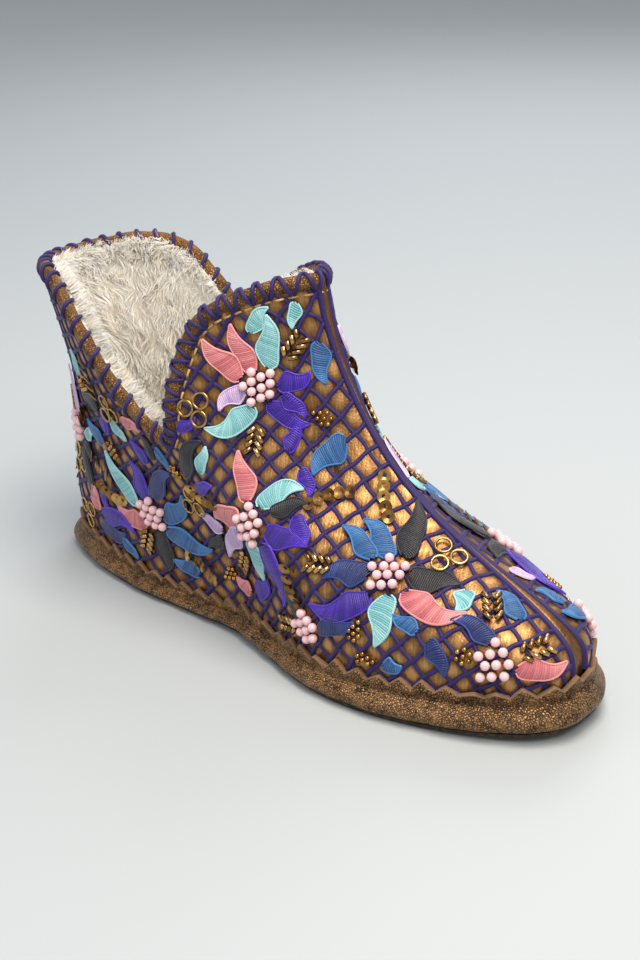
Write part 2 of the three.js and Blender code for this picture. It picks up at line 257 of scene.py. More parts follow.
def select_only(piece):
    bpy.ops.object.select_all(action="DESELECT")
    piece.select_set(True)
    bpy.context.view_layer.objects.active = piece


def mesh_piece(name, points, quads=(), triangles=(), materials=(), face_material=None, uv=None,
               tone=None):
    """A piece from arrays in millimetres. uv is per face corner, tone per vertex."""
    quads = np.asarray(quads, np.int32).reshape(-1, 4)
    triangles = np.asarray(triangles, np.int32).reshape(-1, 3)
    mesh = bpy.data.meshes.new(name)
    corners = np.concatenate([quads.ravel(), triangles.ravel()])
    starts = np.concatenate([np.arange(len(quads)) * 4, len(quads) * 4 + np.arange(len(triangles)) * 3])
    mesh.vertices.add(len(points))
    mesh.vertices.foreach_set("co", (np.asarray(points, float) * MM).astype(np.float32).ravel())
    mesh.loops.add(len(corners))
    mesh.loops.foreach_set("vertex_index", corners)
    mesh.polygons.add(len(starts))
    mesh.polygons.foreach_set("loop_start", starts.astype(np.int32))
    mesh.polygons.foreach_set("use_smooth", np.ones(len(starts), bool))
    for material in materials:
        mesh.materials.append(material)
    if face_material is not None:
        mesh.polygons.foreach_set("material_index", np.asarray(face_material, np.int32))
    if uv is not None:
        layer = mesh.uv_layers.new(name="pattern")
        layer.data.foreach_set("uv", np.asarray(uv, np.float32).ravel())
    if tone is not None:
        attribute = mesh.attributes.new("tone", "FLOAT", "POINT")
        attribute.data.foreach_set("value", np.asarray(tone, np.float32))
    mesh.update(calc_edges=True)
    mesh.validate()
    piece = bpy.data.objects.new(name, mesh)
    bpy.context.collection.objects.link(piece)
    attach(piece, "root")
    return piece


def ring_quads(columns, tall):
    """Quads of a closed loop of columns, each a closed profile of the same number of points."""
    i = np.arange(columns)[:, None]
    k = np.arange(tall)[None]
    near, far = i * tall, ((i + 1) % columns) * tall
    up = (k + 1) % tall
    return np.stack([near + k, far + k, far + up, near + up], -1).reshape(-1, 4)


class Heap:
    """Many small shapes gathered into one joined mesh."""

    def __init__(self):
        self.points, self.quads, self.triangles, self.tone, self.count = [], [], [], [], 0

    def add(self, points, quads=(), triangles=(), tone=0.5):
        points = np.asarray(points, float).reshape(-1, 3)
        self.points.append(points)
        self.quads.append(np.asarray(quads, np.int64).reshape(-1, 4) + self.count)
        self.triangles.append(np.asarray(triangles, np.int64).reshape(-1, 3) + self.count)
        self.tone.append(np.broadcast_to(np.asarray(tone, float), (len(points),)))
        self.count += len(points)

    def piece(self, name, material):
        return mesh_piece(
            name, np.concatenate(self.points), np.concatenate(self.quads), np.concatenate(self.triangles),
            materials=[material], tone=np.concatenate(self.tone),
        )


CORD_SINK = 0.25          # how far a laid cord's open side sinks into what it lies on


def lay_cord(heap, path, normals, width, rise, tone=0.5, sides=4):
    """A half-round cord laid on a surface: path and normals row by row, its open side down."""
    path, normals = np.asarray(path, float), np.asarray(normals, float)
    along = unit(np.gradient(path, axis=0))
    across = unit(np.cross(along, normals))
    angle = np.linspace(0, np.pi, sides + 1)
    width, rise = np.broadcast_to(width, len(path)), np.broadcast_to(rise, len(path))
    spread = np.cos(angle)[None, :, None] * (width / 2)[:, None, None] * across[:, None]
    lift = (np.sin(angle)[None, :, None] * rise[:, None, None] - CORD_SINK) * normals[:, None]
    points = path[:, None] + spread + lift
    n, m = len(path), sides + 1
    i, k = np.arange(n - 1)[:, None], np.arange(m - 1)[None]
    quads = np.stack([i * m + k, i * m + k + 1, (i + 1) * m + k + 1, (i + 1) * m + k], -1)
    tone = np.repeat(np.broadcast_to(tone, len(path)), m)
    heap.add(points.reshape(-1, 3), quads.reshape(-1, 4), tone=tone)


def round_cord(heap, path, radius, tone=0.5, sides=6):
    """A round cord along an open path, with closed ends."""
    path = np.asarray(path, float)
    along = unit(np.gradient(path, axis=0))
    side = unit(np.cross(along, np.where(np.abs(along[:, 2:]) > 0.9, [[1.0, 0, 0]], [[0, 0, 1.0]])))
    for i in range(1, len(path)):
        carried = side[i - 1] - along[i] * np.dot(side[i - 1], along[i])
        side[i] = carried / max(np.linalg.norm(carried), 1e-9)
    other = np.cross(along, side)
    angle = np.arange(sides) * 2 * np.pi / sides
    radius = np.broadcast_to(radius, len(path))
    points = path[:, None] + radius[:, None, None] * (
        np.cos(angle)[None, :, None] * side[:, None] + np.sin(angle)[None, :, None] * other[:, None]
    )
    n = len(path)
    i, k = np.arange(n - 1)[:, None], np.arange(sides)[None]
    up = (k + 1) % sides
    quads = np.stack([i * sides + k, i * sides + up, (i + 1) * sides + up, (i + 1) * sides + k], -1)
    fan = np.arange(1, sides - 1)
    start = np.stack([np.zeros_like(fan), fan + 1, fan], -1)
    end = np.stack([np.zeros_like(fan), fan, fan + 1], -1) + (n - 1) * sides
    tone = np.repeat(np.broadcast_to(tone, n), sides)
    heap.add(points.reshape(-1, 3), quads.reshape(-1, 4), np.concatenate([start, end]), tone)


# Flat pattern of each half of the upper

PATTERN_COLUMNS, PATTERN_ROWS = 121, 49
SIDE_FACING = 0.85        # a normal that points this much to the side shows in the side view


def flatten_half(half):
    """Unrolls one half of the wall as a pattern cutter would. Returns flat places in millimetres for a
    grid of columns and rows; along the side they follow the shoe's own length and height."""
    bpy.ops.mesh.primitive_grid_add(
        x_subdivisions=PATTERN_COLUMNS - 1, y_subdivisions=PATTERN_ROWS - 1, size=2,
    )
    sheet = bpy.context.object
    flat = np.array([v.co for v in sheet.data.vertices])
    column, row = (flat[:, 0] + 1) / 2, (flat[:, 1] + 1) / 2
    points = upper_point(*wall_place(half, column, row))
    sheet.data.vertices.foreach_set("co", points.astype(np.float32).ravel())
    bpy.ops.object.mode_set(mode="EDIT")
    bpy.ops.mesh.select_all(action="SELECT")
    bpy.ops.uv.unwrap(method="MINIMUM_STRETCH", margin=0, correct_aspect=False)
    bpy.ops.object.mode_set(mode="OBJECT")
    uv = np.zeros(len(sheet.data.loops) * 2, np.float32)
    sheet.data.uv_layers.active.data.foreach_get("uv", uv)
    corner = np.zeros(len(sheet.data.loops), np.int32)
    sheet.data.loops.foreach_get("vertex_index", corner)
    place = np.zeros((len(points), 2))
    place[corner] = uv.reshape(-1, 2)
    bpy.data.objects.remove(sheet)
    # Turn, size and shift the flat piece so that it agrees with the side view of the wall
    side_view = points[:, [0, 2]]
    facing = np.abs(upper_normal(*wall_place(half, column, row))[:, 1]) > SIDE_FACING
    a, b = place[facing], side_view[facing]
    a_mid, b_mid = a.mean(0), b.mean(0)
    u, s, v = np.linalg.svd((a - a_mid).T @ (b - b_mid))
    turn = u @ v
    size = s.sum() / ((a - a_mid) ** 2).sum()
    place = (place - a_mid) @ turn * size + b_mid
    i = np.rint(column * (PATTERN_COLUMNS - 1)).astype(int)
    j = np.rint(row * (PATTERN_ROWS - 1)).astype(int)
    grid = np.zeros((PATTERN_COLUMNS, PATTERN_ROWS, 2))
    grid[i, j] = place
    return grid


class Pattern:
    """Flat pattern of one half, with the way from the wall to the flat and back."""

    def __init__(self, half):
        self.half = half
        self.grid = flatten_half(half)
        n, m = PATTERN_COLUMNS, PATTERN_ROWS
        index = np.arange(n * m).reshape(n, m)
        a, b, c, d = index[:-1, :-1], index[1:, :-1], index[1:, 1:], index[:-1, 1:]
        self.faces = np.concatenate([
            np.stack([a, b, c], -1).reshape(-1, 3), np.stack([a, c, d], -1).reshape(-1, 3),
        ])
        self.flat = self.grid.reshape(-1, 2)
        grid_column, grid_row = np.meshgrid(np.linspace(0, 1, n), np.linspace(0, 1, m), indexing="ij")
        self.wall = np.stack([grid_column, grid_row], -1).reshape(-1, 2)
        corners = [Vector((x, y, 0)) for x, y in self.flat]
        self.tree = BVHTree.FromPolygons(corners, self.faces.tolist())

    def to_flat(self, column, row):
        n, m = PATTERN_COLUMNS - 1, PATTERN_ROWS - 1
        x, y = np.clip(column, 0, 1) * n, np.clip(row, 0, 1) * m
        i, j = np.minimum(x.astype(int), n - 1), np.minimum(y.astype(int), m - 1)
        s, t = (x - i)[..., None], (y - j)[..., None]
        g = self.grid
        lower = g[i, j] * (1 - s) + g[i + 1, j] * s
        upper = g[i, j + 1] * (1 - s) + g[i + 1, j + 1] * s
        return lower * (1 - t) + upper * t

    def to_wall(self, places):
        """Columns and rows under flat places, and which of the places lie on the pattern."""
        wall = np.zeros((len(places), 2))
        found = np.zeros(len(places), bool)
        down = Vector((0, 0, -1))
        for k, (x, y) in enumerate(places):
            hit = self.tree.ray_cast(Vector((x, y, 1)), down)
            if hit[0] is None:
                continue
            corner = self.faces[hit[2]]
            p, q, r = self.flat[corner]
            area = (q[0] - p[0]) * (r[1] - p[1]) - (q[1] - p[1]) * (r[0] - p[0])
            s = ((x - p[0]) * (r[1] - p[1]) - (y - p[1]) * (r[0] - p[0])) / area
            t = ((q[0] - p[0]) * (y - p[1]) - (q[1] - p[1]) * (x - p[0])) / area
            first, second, third = self.wall[corner]
            wall[k] = first * (1 - s - t) + second * s + third * t
            found[k] = True
        return wall, found

    def on_wall(self, places, lift=0.0):
        """Points on the wall, their normals, and which places lie on the pattern."""
        places = np.asarray(places, float)
        wall, found = self.to_wall(places)
        around, height = wall_place(self.half, wall[:, 0], wall[:, 1])
        normal = upper_normal(around, height)
        lift = np.broadcast_to(lift, len(places))[:, None]
        return upper_point(around, height) + normal * lift, normal, found


patterns = [Pattern(INNER), Pattern(OUTER)]


# Materials

def colour(code):
    """Linear colour of an sRGB hex code."""
    channels = [int(code[i:i + 2], 16) / 255 for i in (1, 3, 5)]
    return (*(c / 12.92 if c <= 0.04045 else ((c + 0.055) / 1.055) ** 2.4 for c in channels), 1.0)


def add_node(tree, kind, settings=None, inputs=None, stops=()):
    """Adds a node, sets its properties, and fills its sockets with values or links. stops are a ramp's
    places and hex codes."""
    node = tree.nodes.new(kind)
    for name, value in (settings or {}).items():
        setattr(node, name, value)
    for key, value in (inputs or {}).items():
        if isinstance(value, bpy.types.NodeSocket):
            tree.links.new(value, node.inputs[key])
        else:
            node.inputs[key].default_value = value
    for k, (place, code) in enumerate(stops):
        elements = node.color_ramp.elements
        element = elements[k] if k < len(elements) else elements.new(place)
        element.position, element.color = place, colour(code)
    return node


def new_material(name):
    material = bpy.data.materials.new(name)
    material.use_nodes = True
    material.node_tree.nodes.clear()
    return material, material.node_tree


def close_material(tree, shader_inputs):
    """Ends a material with one shader and its output."""
    shader = add_node(tree, "ShaderNodeBsdfPrincipled", inputs=shader_inputs)
    add_node(tree, "ShaderNodeOutputMaterial", inputs={"Surface": shader.outputs[0]})


def bronze_foil_leather():
    """Metal foil on thin leather: pale gold where a cell swells and brown where the cords draw it down, which
    is painted highlight and painted shade; short pleats in the foil with painted highlight and shade along
    their streaks, and fine cracks."""
    material, tree = new_material("bronze_foil_leather")
    place = add_node(tree, "ShaderNodeUVMap", {"uv_map": "pattern"}).outputs[0]
    # tone is painted light: higher on each cell's swell as painted highlight, lower where the cords draw the
    # leather down as painted shade
    tone = add_node(tree, "ShaderNodeAttribute", {"attribute_name": "tone"}).outputs["Fac"]
    streak_place = add_node(tree, "ShaderNodeMapping", inputs={
        "Vector": place, "Rotation": (0, 0, 0.5), "Scale": (1 / 0.8, 1 / 5.0, 1),
    }).outputs[0]
    streak = add_node(tree, "ShaderNodeTexNoise", {"noise_dimensions": "2D"}, {
        "Vector": streak_place, "Scale": 1.0, "Detail": 2.0,
    }).outputs["Fac"]
    patch = add_node(tree, "ShaderNodeTexNoise", {"noise_dimensions": "2D"}, {
        "Vector": place, "Scale": 1 / 14, "Detail": 3.0,
    }).outputs["Fac"]
    # Streaks along the pleats, lighter and darker: painted highlight and shade. Broad patches of tone differ at
    # random.
    pleat_shading, patched = (
        add_node(tree, "ShaderNodeMath", {"operation": "MULTIPLY_ADD"}, {
            0: source, 1: 0.5, 2: -0.25,
        }).outputs[0]
        for source in (streak, patch)
    )
    mixed = add_node(tree, "ShaderNodeMath", {"operation": "ADD"}, {0: tone, 1: pleat_shading}).outputs[0]
    shade = add_node(tree, "ShaderNodeMath", {"operation": "ADD"}, {0: mixed, 1: patched}).outputs[0]
    base = add_node(tree, "ShaderNodeValToRGB", inputs={"Fac": shade}, stops=(
        (0.0, "#1f120a"), (0.4, "#573b23"), (0.8, "#91693f"), (1.0, "#b98e59"),
    )).outputs["Color"]
    grain = add_node(
        tree, "ShaderNodeTexVoronoi", {"voronoi_dimensions": "2D", "feature": "DISTANCE_TO_EDGE"},
        {"Vector": place, "Scale": 1 / 1.1},
    ).outputs["Distance"]
    low = add_node(tree, "ShaderNodeBump", inputs={"Strength": 0.25, "Distance": 0.3 * MM, "Height": streak})
    bump = add_node(tree, "ShaderNodeBump", inputs={
        "Strength": 0.35, "Distance": 0.2 * MM, "Height": grain, "Normal": low.outputs[0],
    }).outputs[0]
    rough = add_node(tree, "ShaderNodeMapRange", inputs={
        "Value": patch, "To Min": 0.3, "To Max": 0.52,
    }).outputs[0]
    close_material(tree, {"Base Color": base, "Metallic": 0.82, "Roughness": rough, "Normal": bump})
    return material


def crackle_leather(name, dark, light, metallic, roughness, crack):
    """Heavy foiled leather: brown hide showing in a net of cracks between brighter flakes. crack is the
    size of a flake in millimetres, drawn as coarse as it needs to show."""
    material, tree = new_material(name)
    place = add_node(tree, "ShaderNodeTexCoord").outputs["Object"]
    drift = add_node(tree, "ShaderNodeTexNoise", inputs={"Vector": place, "Scale": 1 / (5 * MM), "Detail": 3.0})
    bent = add_node(tree, "ShaderNodeVectorMath", {"operation": "MULTIPLY_ADD"}, {
        0: drift.outputs["Color"], 1: (1.6 * MM,) * 3, 2: place,
    }).outputs[0]
    flake = add_node(tree, "ShaderNodeTexVoronoi", {"feature": "DISTANCE_TO_EDGE"}, {
        "Vector": bent, "Scale": 1 / (crack * MM),
    }).outputs["Distance"]
    edge = add_node(tree, "ShaderNodeMapRange", inputs={"Value": flake, "From Max": 0.3}).outputs[0]
    pebble = add_node(tree, "ShaderNodeTexNoise", inputs={
        "Vector": place, "Scale": 1 / (0.8 * MM), "Detail": 3.0, "Roughness": 0.75,
    }).outputs["Fac"]
    shade = add_node(tree, "ShaderNodeMath", {"operation": "MULTIPLY"}, {0: edge, 1: pebble}).outputs[0]
    blotch = add_node(tree, "ShaderNodeMath", {"operation": "MULTIPLY_ADD"}, {
        0: drift.outputs["Fac"], 1: 0.6, 2: -0.2,
    }).outputs[0]
    both = add_node(tree, "ShaderNodeMath", {"operation": "ADD"}, {0: shade, 1: blotch}).outputs[0]
    base = add_node(tree, "ShaderNodeValToRGB", inputs={"Fac": both}, stops=(
        (0.12, dark), (0.62, light),
    )).outputs["Color"]
    low = add_node(tree, "ShaderNodeBump", inputs={"Strength": 0.6, "Distance": 0.35 * MM, "Height": edge})
    bump = add_node(tree, "ShaderNodeBump", inputs={
        "Strength": 0.5, "Distance": 0.25 * MM, "Height": pebble, "Normal": low.outputs[0],
    }).outputs[0]
    close_material(tree, {"Base Color": base, "Metallic": metallic, "Roughness": roughness, "Normal": bump})
    return material


def thread(name, dark, light, roughness=0.42, sheen=0.25, twist=0.5):
    """Twisted yarn: strands lighter or darker by their own tone, a soft sheen and the grain of the twist,
    which is given in millimetres."""
    material, tree = new_material(name)
    place = add_node(tree, "ShaderNodeTexCoord").outputs["Object"]
    tone = add_node(tree, "ShaderNodeAttribute", {"attribute_name": "tone"}).outputs["Fac"]
    fuzz = add_node(tree, "ShaderNodeTexNoise", inputs={
        "Vector": place, "Scale": 1 / (twist * MM), "Detail": 2.0,
    }).outputs["Fac"]
    shade = add_node(tree, "ShaderNodeMath", {"operation": "MULTIPLY_ADD"}, {
        0: fuzz, 1: 0.5, 2: -0.25,
    }).outputs[0]
    both = add_node(tree, "ShaderNodeMath", {"operation": "ADD"}, {0: tone, 1: shade}).outputs[0]
    base = add_node(tree, "ShaderNodeValToRGB", inputs={"Fac": both}, stops=(
        (0.1, dark), (0.9, light),
    )).outputs["Color"]
    bump = add_node(tree, "ShaderNodeBump", inputs={
        "Strength": 0.5, "Distance": 0.2 * MM, "Height": fuzz,
    }).outputs[0]
    close_material(tree, {
        "Base Color": base, "Roughness": roughness, "Normal": bump,
        "Sheen Weight": sheen, "Sheen Roughness": 0.4,
    })
    return material


def shearling():
    """Clipped cream wool: soft, a little light passing through it, darker and warmer at low tone: painted shade
    at the roots of the locks and in the hollows of the skin, besides tone that differs at random.
    """
    material, tree = new_material("cream_shearling")
    tone = add_node(tree, "ShaderNodeAttribute", {"attribute_name": "tone"}).outputs["Fac"]
    base = add_node(tree, "ShaderNodeValToRGB", inputs={"Fac": tone}, stops=(
        (0.0, "#eadfca"), (0.4, "#faf4e9"), (1.0, "#fffdf9"),
    )).outputs["Color"]
    close_material(tree, {
        "Base Color": base, "Roughness": 0.9, "Sheen Weight": 0.35, "Sheen Roughness": 0.5,
        "Subsurface Weight": 0.5, "Subsurface Radius": (1.0, 0.9, 0.75), "Subsurface Scale": 4 * MM,
    })
    return material


def metal(name, dark, light, roughness):
    """Plated metal of small trim, each bead or disc a little brighter or duller than the next."""
    material, tree = new_material(name)
    tone = add_node(tree, "ShaderNodeAttribute", {"attribute_name": "tone"}).outputs["Fac"]
    base = add_node(tree, "ShaderNodeValToRGB", inputs={"Fac": tone}, stops=(
        (0.3, dark), (0.7, light),
    )).outputs["Color"]
    close_material(tree, {"Base Color": base, "Roughness": roughness, "Metallic": 1.0})
    return material


def plain(name, code, roughness, coat=0.0):
    """A smooth plain finish, matt or glazed."""
    material, tree = new_material(name)
    close_material(tree, {
        "Base Color": colour(code), "Roughness": roughness, "Coat Weight": coat, "Coat Roughness": 0.08,
    })
    return material


foil = bronze_foil_leather()
rand_leather = crackle_leather("bronze_crackle_leather", "#2f1f13", "#ab8154", 0.6, 0.36, crack=0.9)
rim_leather = crackle_leather("bronze_rim_leather", "#452c18", "#a87a46", 0.6, 0.4, crack=0.8)
sole_leather = crackle_leather("dark_sole_leather", "#1d130d", "#4a3425", 0.0, 0.75, crack=3.5)
raw_edge = thread("raw_leather_edge", "#5f4430", "#a07a58", roughness=0.85, sheen=0.1, twist=0.9)
purple_cord = thread("purple_cord", "#150830", "#341c72", roughness=0.65, sheen=0.1, twist=0.7)
gold_thread = thread("gold_thread", "#7d5520", "#d9b15f", roughness=0.35)
wool = shearling()


# Upper

CORD_PITCH = 6.7          # between cords across the lattice, on the flat pattern
PILLOW_RISE = 0.45        # how far a cell swells between its cords
UPPER_COLUMNS, UPPER_ROWS = 280, 84
SEAM_FOOT, SEAM_HALF, SEAM_RAISE = 3.0, 1.2, 1.0
BACK_SEAM = 2.4           # from the centre back to the cord on either side of it
CORD_WIDE, CORD_TALL = 1.85, 0.9
SEAM_CORD_WIDE, SEAM_CORD_TALL = 2.2, 1.5
SEAM_CORD_FROM = 0.12     # row where the cords along the seams begin, just over the rand
CORD_STEP = 1.3           # between the points of a cord
# Soft folds where the foot bends and the ankle gives, on the flat pattern: start, end, width and depth
CREASES = [
    ((22, 34), (50, 66), 7, 0.9),
    ((46, 26), (74, 54), 8, 0.8),
    ((-66, 58), (-30, 46), 8, 0.8),
    ((-112, 40), (-78, 62), 9, 0.7),
    ((-34, 66), (-8, 40), 6, 0.6),
]


def lattice_share(flat):
    """How far a place lies along the two families of cords, in pitches."""
    span = math.sqrt(2) * CORD_PITCH
    return (flat[..., 0] + flat[..., 1]) / span, (flat[..., 0] - flat[..., 1]) / span


def pillow(flat):
    a, b = lattice_share(flat)
    return np.abs(np.sin(np.pi * a) * np.sin(np.pi * b)) ** 0.4


def crease_depth(flat):
    total = np.zeros(flat.shape[:-1])
    for start, end, width, depth in CREASES:
        start, run = np.array(start, float), np.array(end, float) - np.array(start, float)
        t = ((flat - start) @ run) / (run @ run)
        gap = np.linalg.norm(flat - start - np.clip(t, 0, 1)[..., None] * run, axis=-1)
        fade = smoothstep(-0.3, 0.3, t) * smoothstep(1.3, 0.7, t)
        valley, banks = np.exp(-(gap / width) ** 2), np.exp(-(gap / (2 * width)) ** 2)
        total += fade * depth * (1.35 * valley - 0.35 * banks)
    return total


def row_length(row):
    """Way along the wall from the centre back to the centre front."""
    return OUTLINE_LENGTH + (COLLAR_LENGTH - OUTLINE_LENGTH) * row


def seam_distance(column, row):
    """Way along the wall to the centre front seam."""
    return (1 - column) * row_length(row)


def wall_lift(column, row, flat):
    """Height of the finished leather over the plain wall: cells, folds and the raised front seam."""
    away = seam_distance(column, row)
    seam = SEAM_RAISE * smoothstep(SEAM_FOOT, SEAM_HALF, away) * smoothstep(0.12, 0.3, row)
    cell = PILLOW_RISE * (pillow(flat) - 0.45) * smoothstep(2.5, 6, away)
    return cell - crease_depth(flat) + seam


def make_upper():
    columns = np.linspace(0, 1, UPPER_COLUMNS + 1)
    rows = np.linspace(0, 1, UPPER_ROWS + 1)
    inside_rows = np.array([1, 0.75, 0.5, 0.25, 0])
    tall = len(rows) + len(inside_rows)
    walls, flats, tones = [], [], []
    for pattern in patterns:
        column, row = np.meshgrid(columns, np.concatenate([rows, inside_rows]), indexing="ij")
        around, height = wall_place(pattern.half, column, row)
        flat = pattern.to_flat(column, row)
        lift = wall_lift(column, row, flat)
        lift[:, len(rows):] = -WALL
        walls.append(upper_point(around, height) + upper_normal(around, height) * lift[..., None])
        flats.append(flat)
        # Tone rises on each cell's swell and falls where the cords draw the leather down: painted highlight and
        # shade, held even along the front seam.
        tones.append(0.6 + (pillow(flat) - 0.6) * smoothstep(1.5, 4, seam_distance(column, row)))
    points = np.concatenate([walls[INNER], walls[OUTER][-2:0:-1]])
    tone = np.concatenate([tones[INNER], tones[OUTER][-2:0:-1]])
    near = np.concatenate([flats[INNER][:-1], flats[OUTER][:0:-1]])
    far = np.concatenate([flats[INNER][1:], flats[OUTER][-2::-1]])
    up = np.roll(np.arange(tall), -1)
    uv = np.stack([near, far, far[:, up], near[:, up]], 2)
    piece = mesh_piece(
        "quilted_upper", points.reshape(-1, 3), ring_quads(len(points), tall), materials=[foil],
        uv=uv.reshape(-1, 2), tone=tone.ravel(),
    )
    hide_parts("upper")


def make_lattice():
    """Purple cords couched over the leather in two crossing families, a little wavy as laid by hand, and
    along the front and back seams."""
    heap = Heap()
    for pattern in patterns:
        low, high = pattern.flat.min(0), pattern.flat.max(0)
        for family, turn in enumerate((-1, 1)):
            corners = np.array([(x, y) for x in (low[0], high[0]) for y in (low[1], high[1])])
            shares = lattice_share(corners)[family]
            for k in range(math.ceil(shares.min()), math.floor(shares.max()) + 1):
                offset = k * math.sqrt(2) * CORD_PITCH
                x = np.arange(low[0], high[0], CORD_STEP / math.sqrt(2))
                y = offset - x if family == 0 else x - offset
                wave = 0.25 * np.sin(x * 0.9 + 7 * k + family) + 0.15 * np.sin(x * 0.31 + 3 * k)
                places = np.stack([x + wave * 0.7, y + wave * 0.7 * -turn], -1)
                inside = (y > low[1]) & (y < high[1])
                lay_lattice_cord(heap, pattern, places[inside], 0.15 + 0.3 * family)
        row = np.linspace(SEAM_CORD_FROM, 1, 90)
        for column in (1 - SEAM_FOOT / row_length(row), BACK_SEAM / row_length(row)):
            around, height = wall_place(pattern.half, column, row)
            normal = upper_normal(around, height)
            path = upper_point(around, height) + normal * 0.2
            lay_cord(heap, path, normal, SEAM_CORD_WIDE, SEAM_CORD_TALL, tone=0.45)
    piece = heap.piece("lattice_cords", purple_cord)


def lay_lattice_cord(heap, pattern, places, lift):
    """Lays one straight run of cord, in as many pieces as the pattern's outline cuts it into."""
    if len(places) < 3:
        return
    wall, found = pattern.to_wall(places)
    found &= (seam_distance(*wall.T) > SEAM_FOOT) & (wall[:, 0] * row_length(wall[:, 1]) > BACK_SEAM)
    ends = np.flatnonzero(np.diff(np.concatenate([[0], found.astype(int), [0]])))
    for start, end in zip(ends[::2], ends[1::2]):
        if end - start < 3:
            continue
        column, row = wall[start:end].T
        flat = places[start:end]
        around, height = wall_place(pattern.half, column, row)
        normal = upper_normal(around, height)
        base = -crease_depth(flat) - 0.15 + lift
        path = upper_point(around, height) + normal * base[:, None]
        tone = 0.45 + 0.12 * np.sin(np.arange(len(path)) * 1.9)
        lay_cord(heap, path, normal, CORD_WIDE, CORD_TALL, tone)


# Embroidery

THREADS = {
    "violet": ("#1d0b66", "#5428c4"), "navy": ("#0b1340", "#27408a"), "blue": ("#143a6c", "#3f82c0"),
    "aqua": ("#4f9aa2", "#b4e4e4"), "lilac": ("#a683ba", "#e6cdec"), "coral": ("#b0505c", "#f0a0a0"),
    "black": ("#060609", "#26242e"),
}
# Order in which a spray's leaves take their colours
LEAF_ORDER = (
    "violet", "black", "coral", "blue", "violet", "aqua", "black", "lilac", "navy", "violet", "coral", "blue",
    "aqua",
)
BEAD, SEED = 3.5, 1.9
BUGLE_WIDE, BUGLE_LONG = 1.9, 3.4
SEQUIN, SEQUIN_EYE, SEQUIN_CUP = 4.8, 1.5, 0.7
RING, RING_WIRE = 6.8, 1.0
STRAND = 0.72             # between strands of a leaf; the real thread is finer
LEAF_BASE, LEAF_PAD = 1.0, 0.7    # a leaf's edge over the wall, and its middle over its edge
LEAF_PEAK = 2.86          # brings the widest place of a leaf's outline to its width
SPRIG_FAN = 44            # degrees between a sprig's leaves
SEAM_CLEAR, RIM_CLEAR, TOP_ROW = 4.5, 4, 0.97    # trim keeps this far off the seam and the rim
# Kinds of beadwork in turn, and the length and half-width of the room that each needs
EXTRAS = ("bugles", "rings", "sequins", "bugles", "seeds", "rings", "sequins")
EXTRA_ROOM = {"bugles": (8.5, 2.6), "sequins": (14.5, 2.2), "rings": (6.5, 3.6), "seeds": (6, 2.2)}
# Blooms, with leaves all round a knot of beads, and sprigs, with a fan of leaves, on each half's flat
# pattern: kind, place, turn in degrees, size, number of leaves and first colour
SPRAYS = [
    [
        ("bloom", (8, 101), 20, 0.95, 8, 0), ("bloom", (6, 54), 70, 1.05, 8, 5),
        ("bloom", (-54, 40), -50, 1.0, 8, 6), ("bloom", (58, 40), 10, 1.05, 8, 1),
        ("bloom", (-104, 46), 35, 0.85, 7, 2), ("bloom", (99, 20), 80, 0.75, 6, 3),
        ("bloom", (30, 19), 80, 0.7, 6, 9), ("sprig", (36, 84), -70, 1.0, 4, 3),
        ("sprig", (34, 66), 165, 0.95, 5, 7), ("sprig", (-27, 64), 20, 0.9, 4, 4),
        ("sprig", (-24, 24), 170, 0.95, 5, 10), ("sprig", (-84, 18), 60, 0.9, 4, 8),
        ("sprig", (-2, 24), 100, 0.8, 4, 0), ("sprig", (60, 12), 40, 0.85, 4, 11),
        ("sprig", (84, 42), -30, 0.95, 4, 12), ("sprig", (-84, 72), -110, 0.85, 3, 1),
        ("sprig", (-120, 24), 60, 0.7, 3, 5), ("sprig", (30, 114), -160, 0.7, 3, 6),
    ],
    [
        ("bloom", (8, 99), -20, 0.95, 8, 2), ("bloom", (24, 52), 40, 1.05, 8, 7),
        ("bloom", (-36, 44), 15, 1.0, 8, 0), ("bloom", (70, 34), -35, 1.0, 8, 4),
        ("bloom", (-92, 42), 30, 0.9, 8, 8), ("bloom", (106, 20), 25, 0.7, 6, 6),
        ("bloom", (12, 19), 60, 0.7, 6, 1), ("sprig", (36, 80), -100, 1.0, 4, 5),
        ("sprig", (-6, 72), 200, 0.9, 4, 9), ("sprig", (48, 60), -20, 0.9, 4, 3),
        ("sprig", (-62, 20), 120, 0.9, 5, 11), ("sprig", (-10, 30), 10, 0.85, 4, 10),
        ("sprig", (44, 14), 50, 0.85, 4, 12), ("sprig", (88, 44), -10, 0.85, 4, 2),
        ("sprig", (-68, 70), -70, 0.85, 4, 7), ("sprig", (-118, 24), 80, 0.75, 3, 4),
        ("sprig", (-116, 74), -70, 0.8, 3, 6),
    ],
]


def template(make, **sizes):
    """Corners, quads and triangles of a small shape modelled once about the origin, in millimetres. A
    sphere lists its faces in another order each time, so they are sorted."""
    make(**sizes)
    shape = bpy.context.object
    points = np.array([v.co for v in shape.data.vertices])
    faces = sorted(tuple(p.vertices) for p in shape.data.polygons)
    bpy.data.objects.remove(shape)
    return points, [f for f in faces if len(f) == 4], [f for f in faces if len(f) == 3]


def sequin_template():
    """A cupped disc with an open eye: a low cone turned over, its edge up."""
    points, quads, triangles = template(
        bpy.ops.mesh.primitive_cone_add, vertices=14, radius1=SEQUIN / 2, radius2=SEQUIN_EYE / 2,
        depth=SEQUIN_CUP, end_fill_type="NOTHING",
    )
    points[:, 2] *= -1
    return points, [q[::-1] for q in quads], triangles


bead_shape = template(bpy.ops.mesh.primitive_uv_sphere_add, segments=10, ring_count=7, radius=BEAD / 2)
seed_shape = template(bpy.ops.mesh.primitive_uv_sphere_add, segments=8, ring_count=5, radius=SEED / 2)
bugle_shape = template(
    bpy.ops.mesh.primitive_cylinder_add, vertices=6, radius=BUGLE_WIDE / 2, depth=BUGLE_LONG,
    end_fill_type="TRIFAN",
)
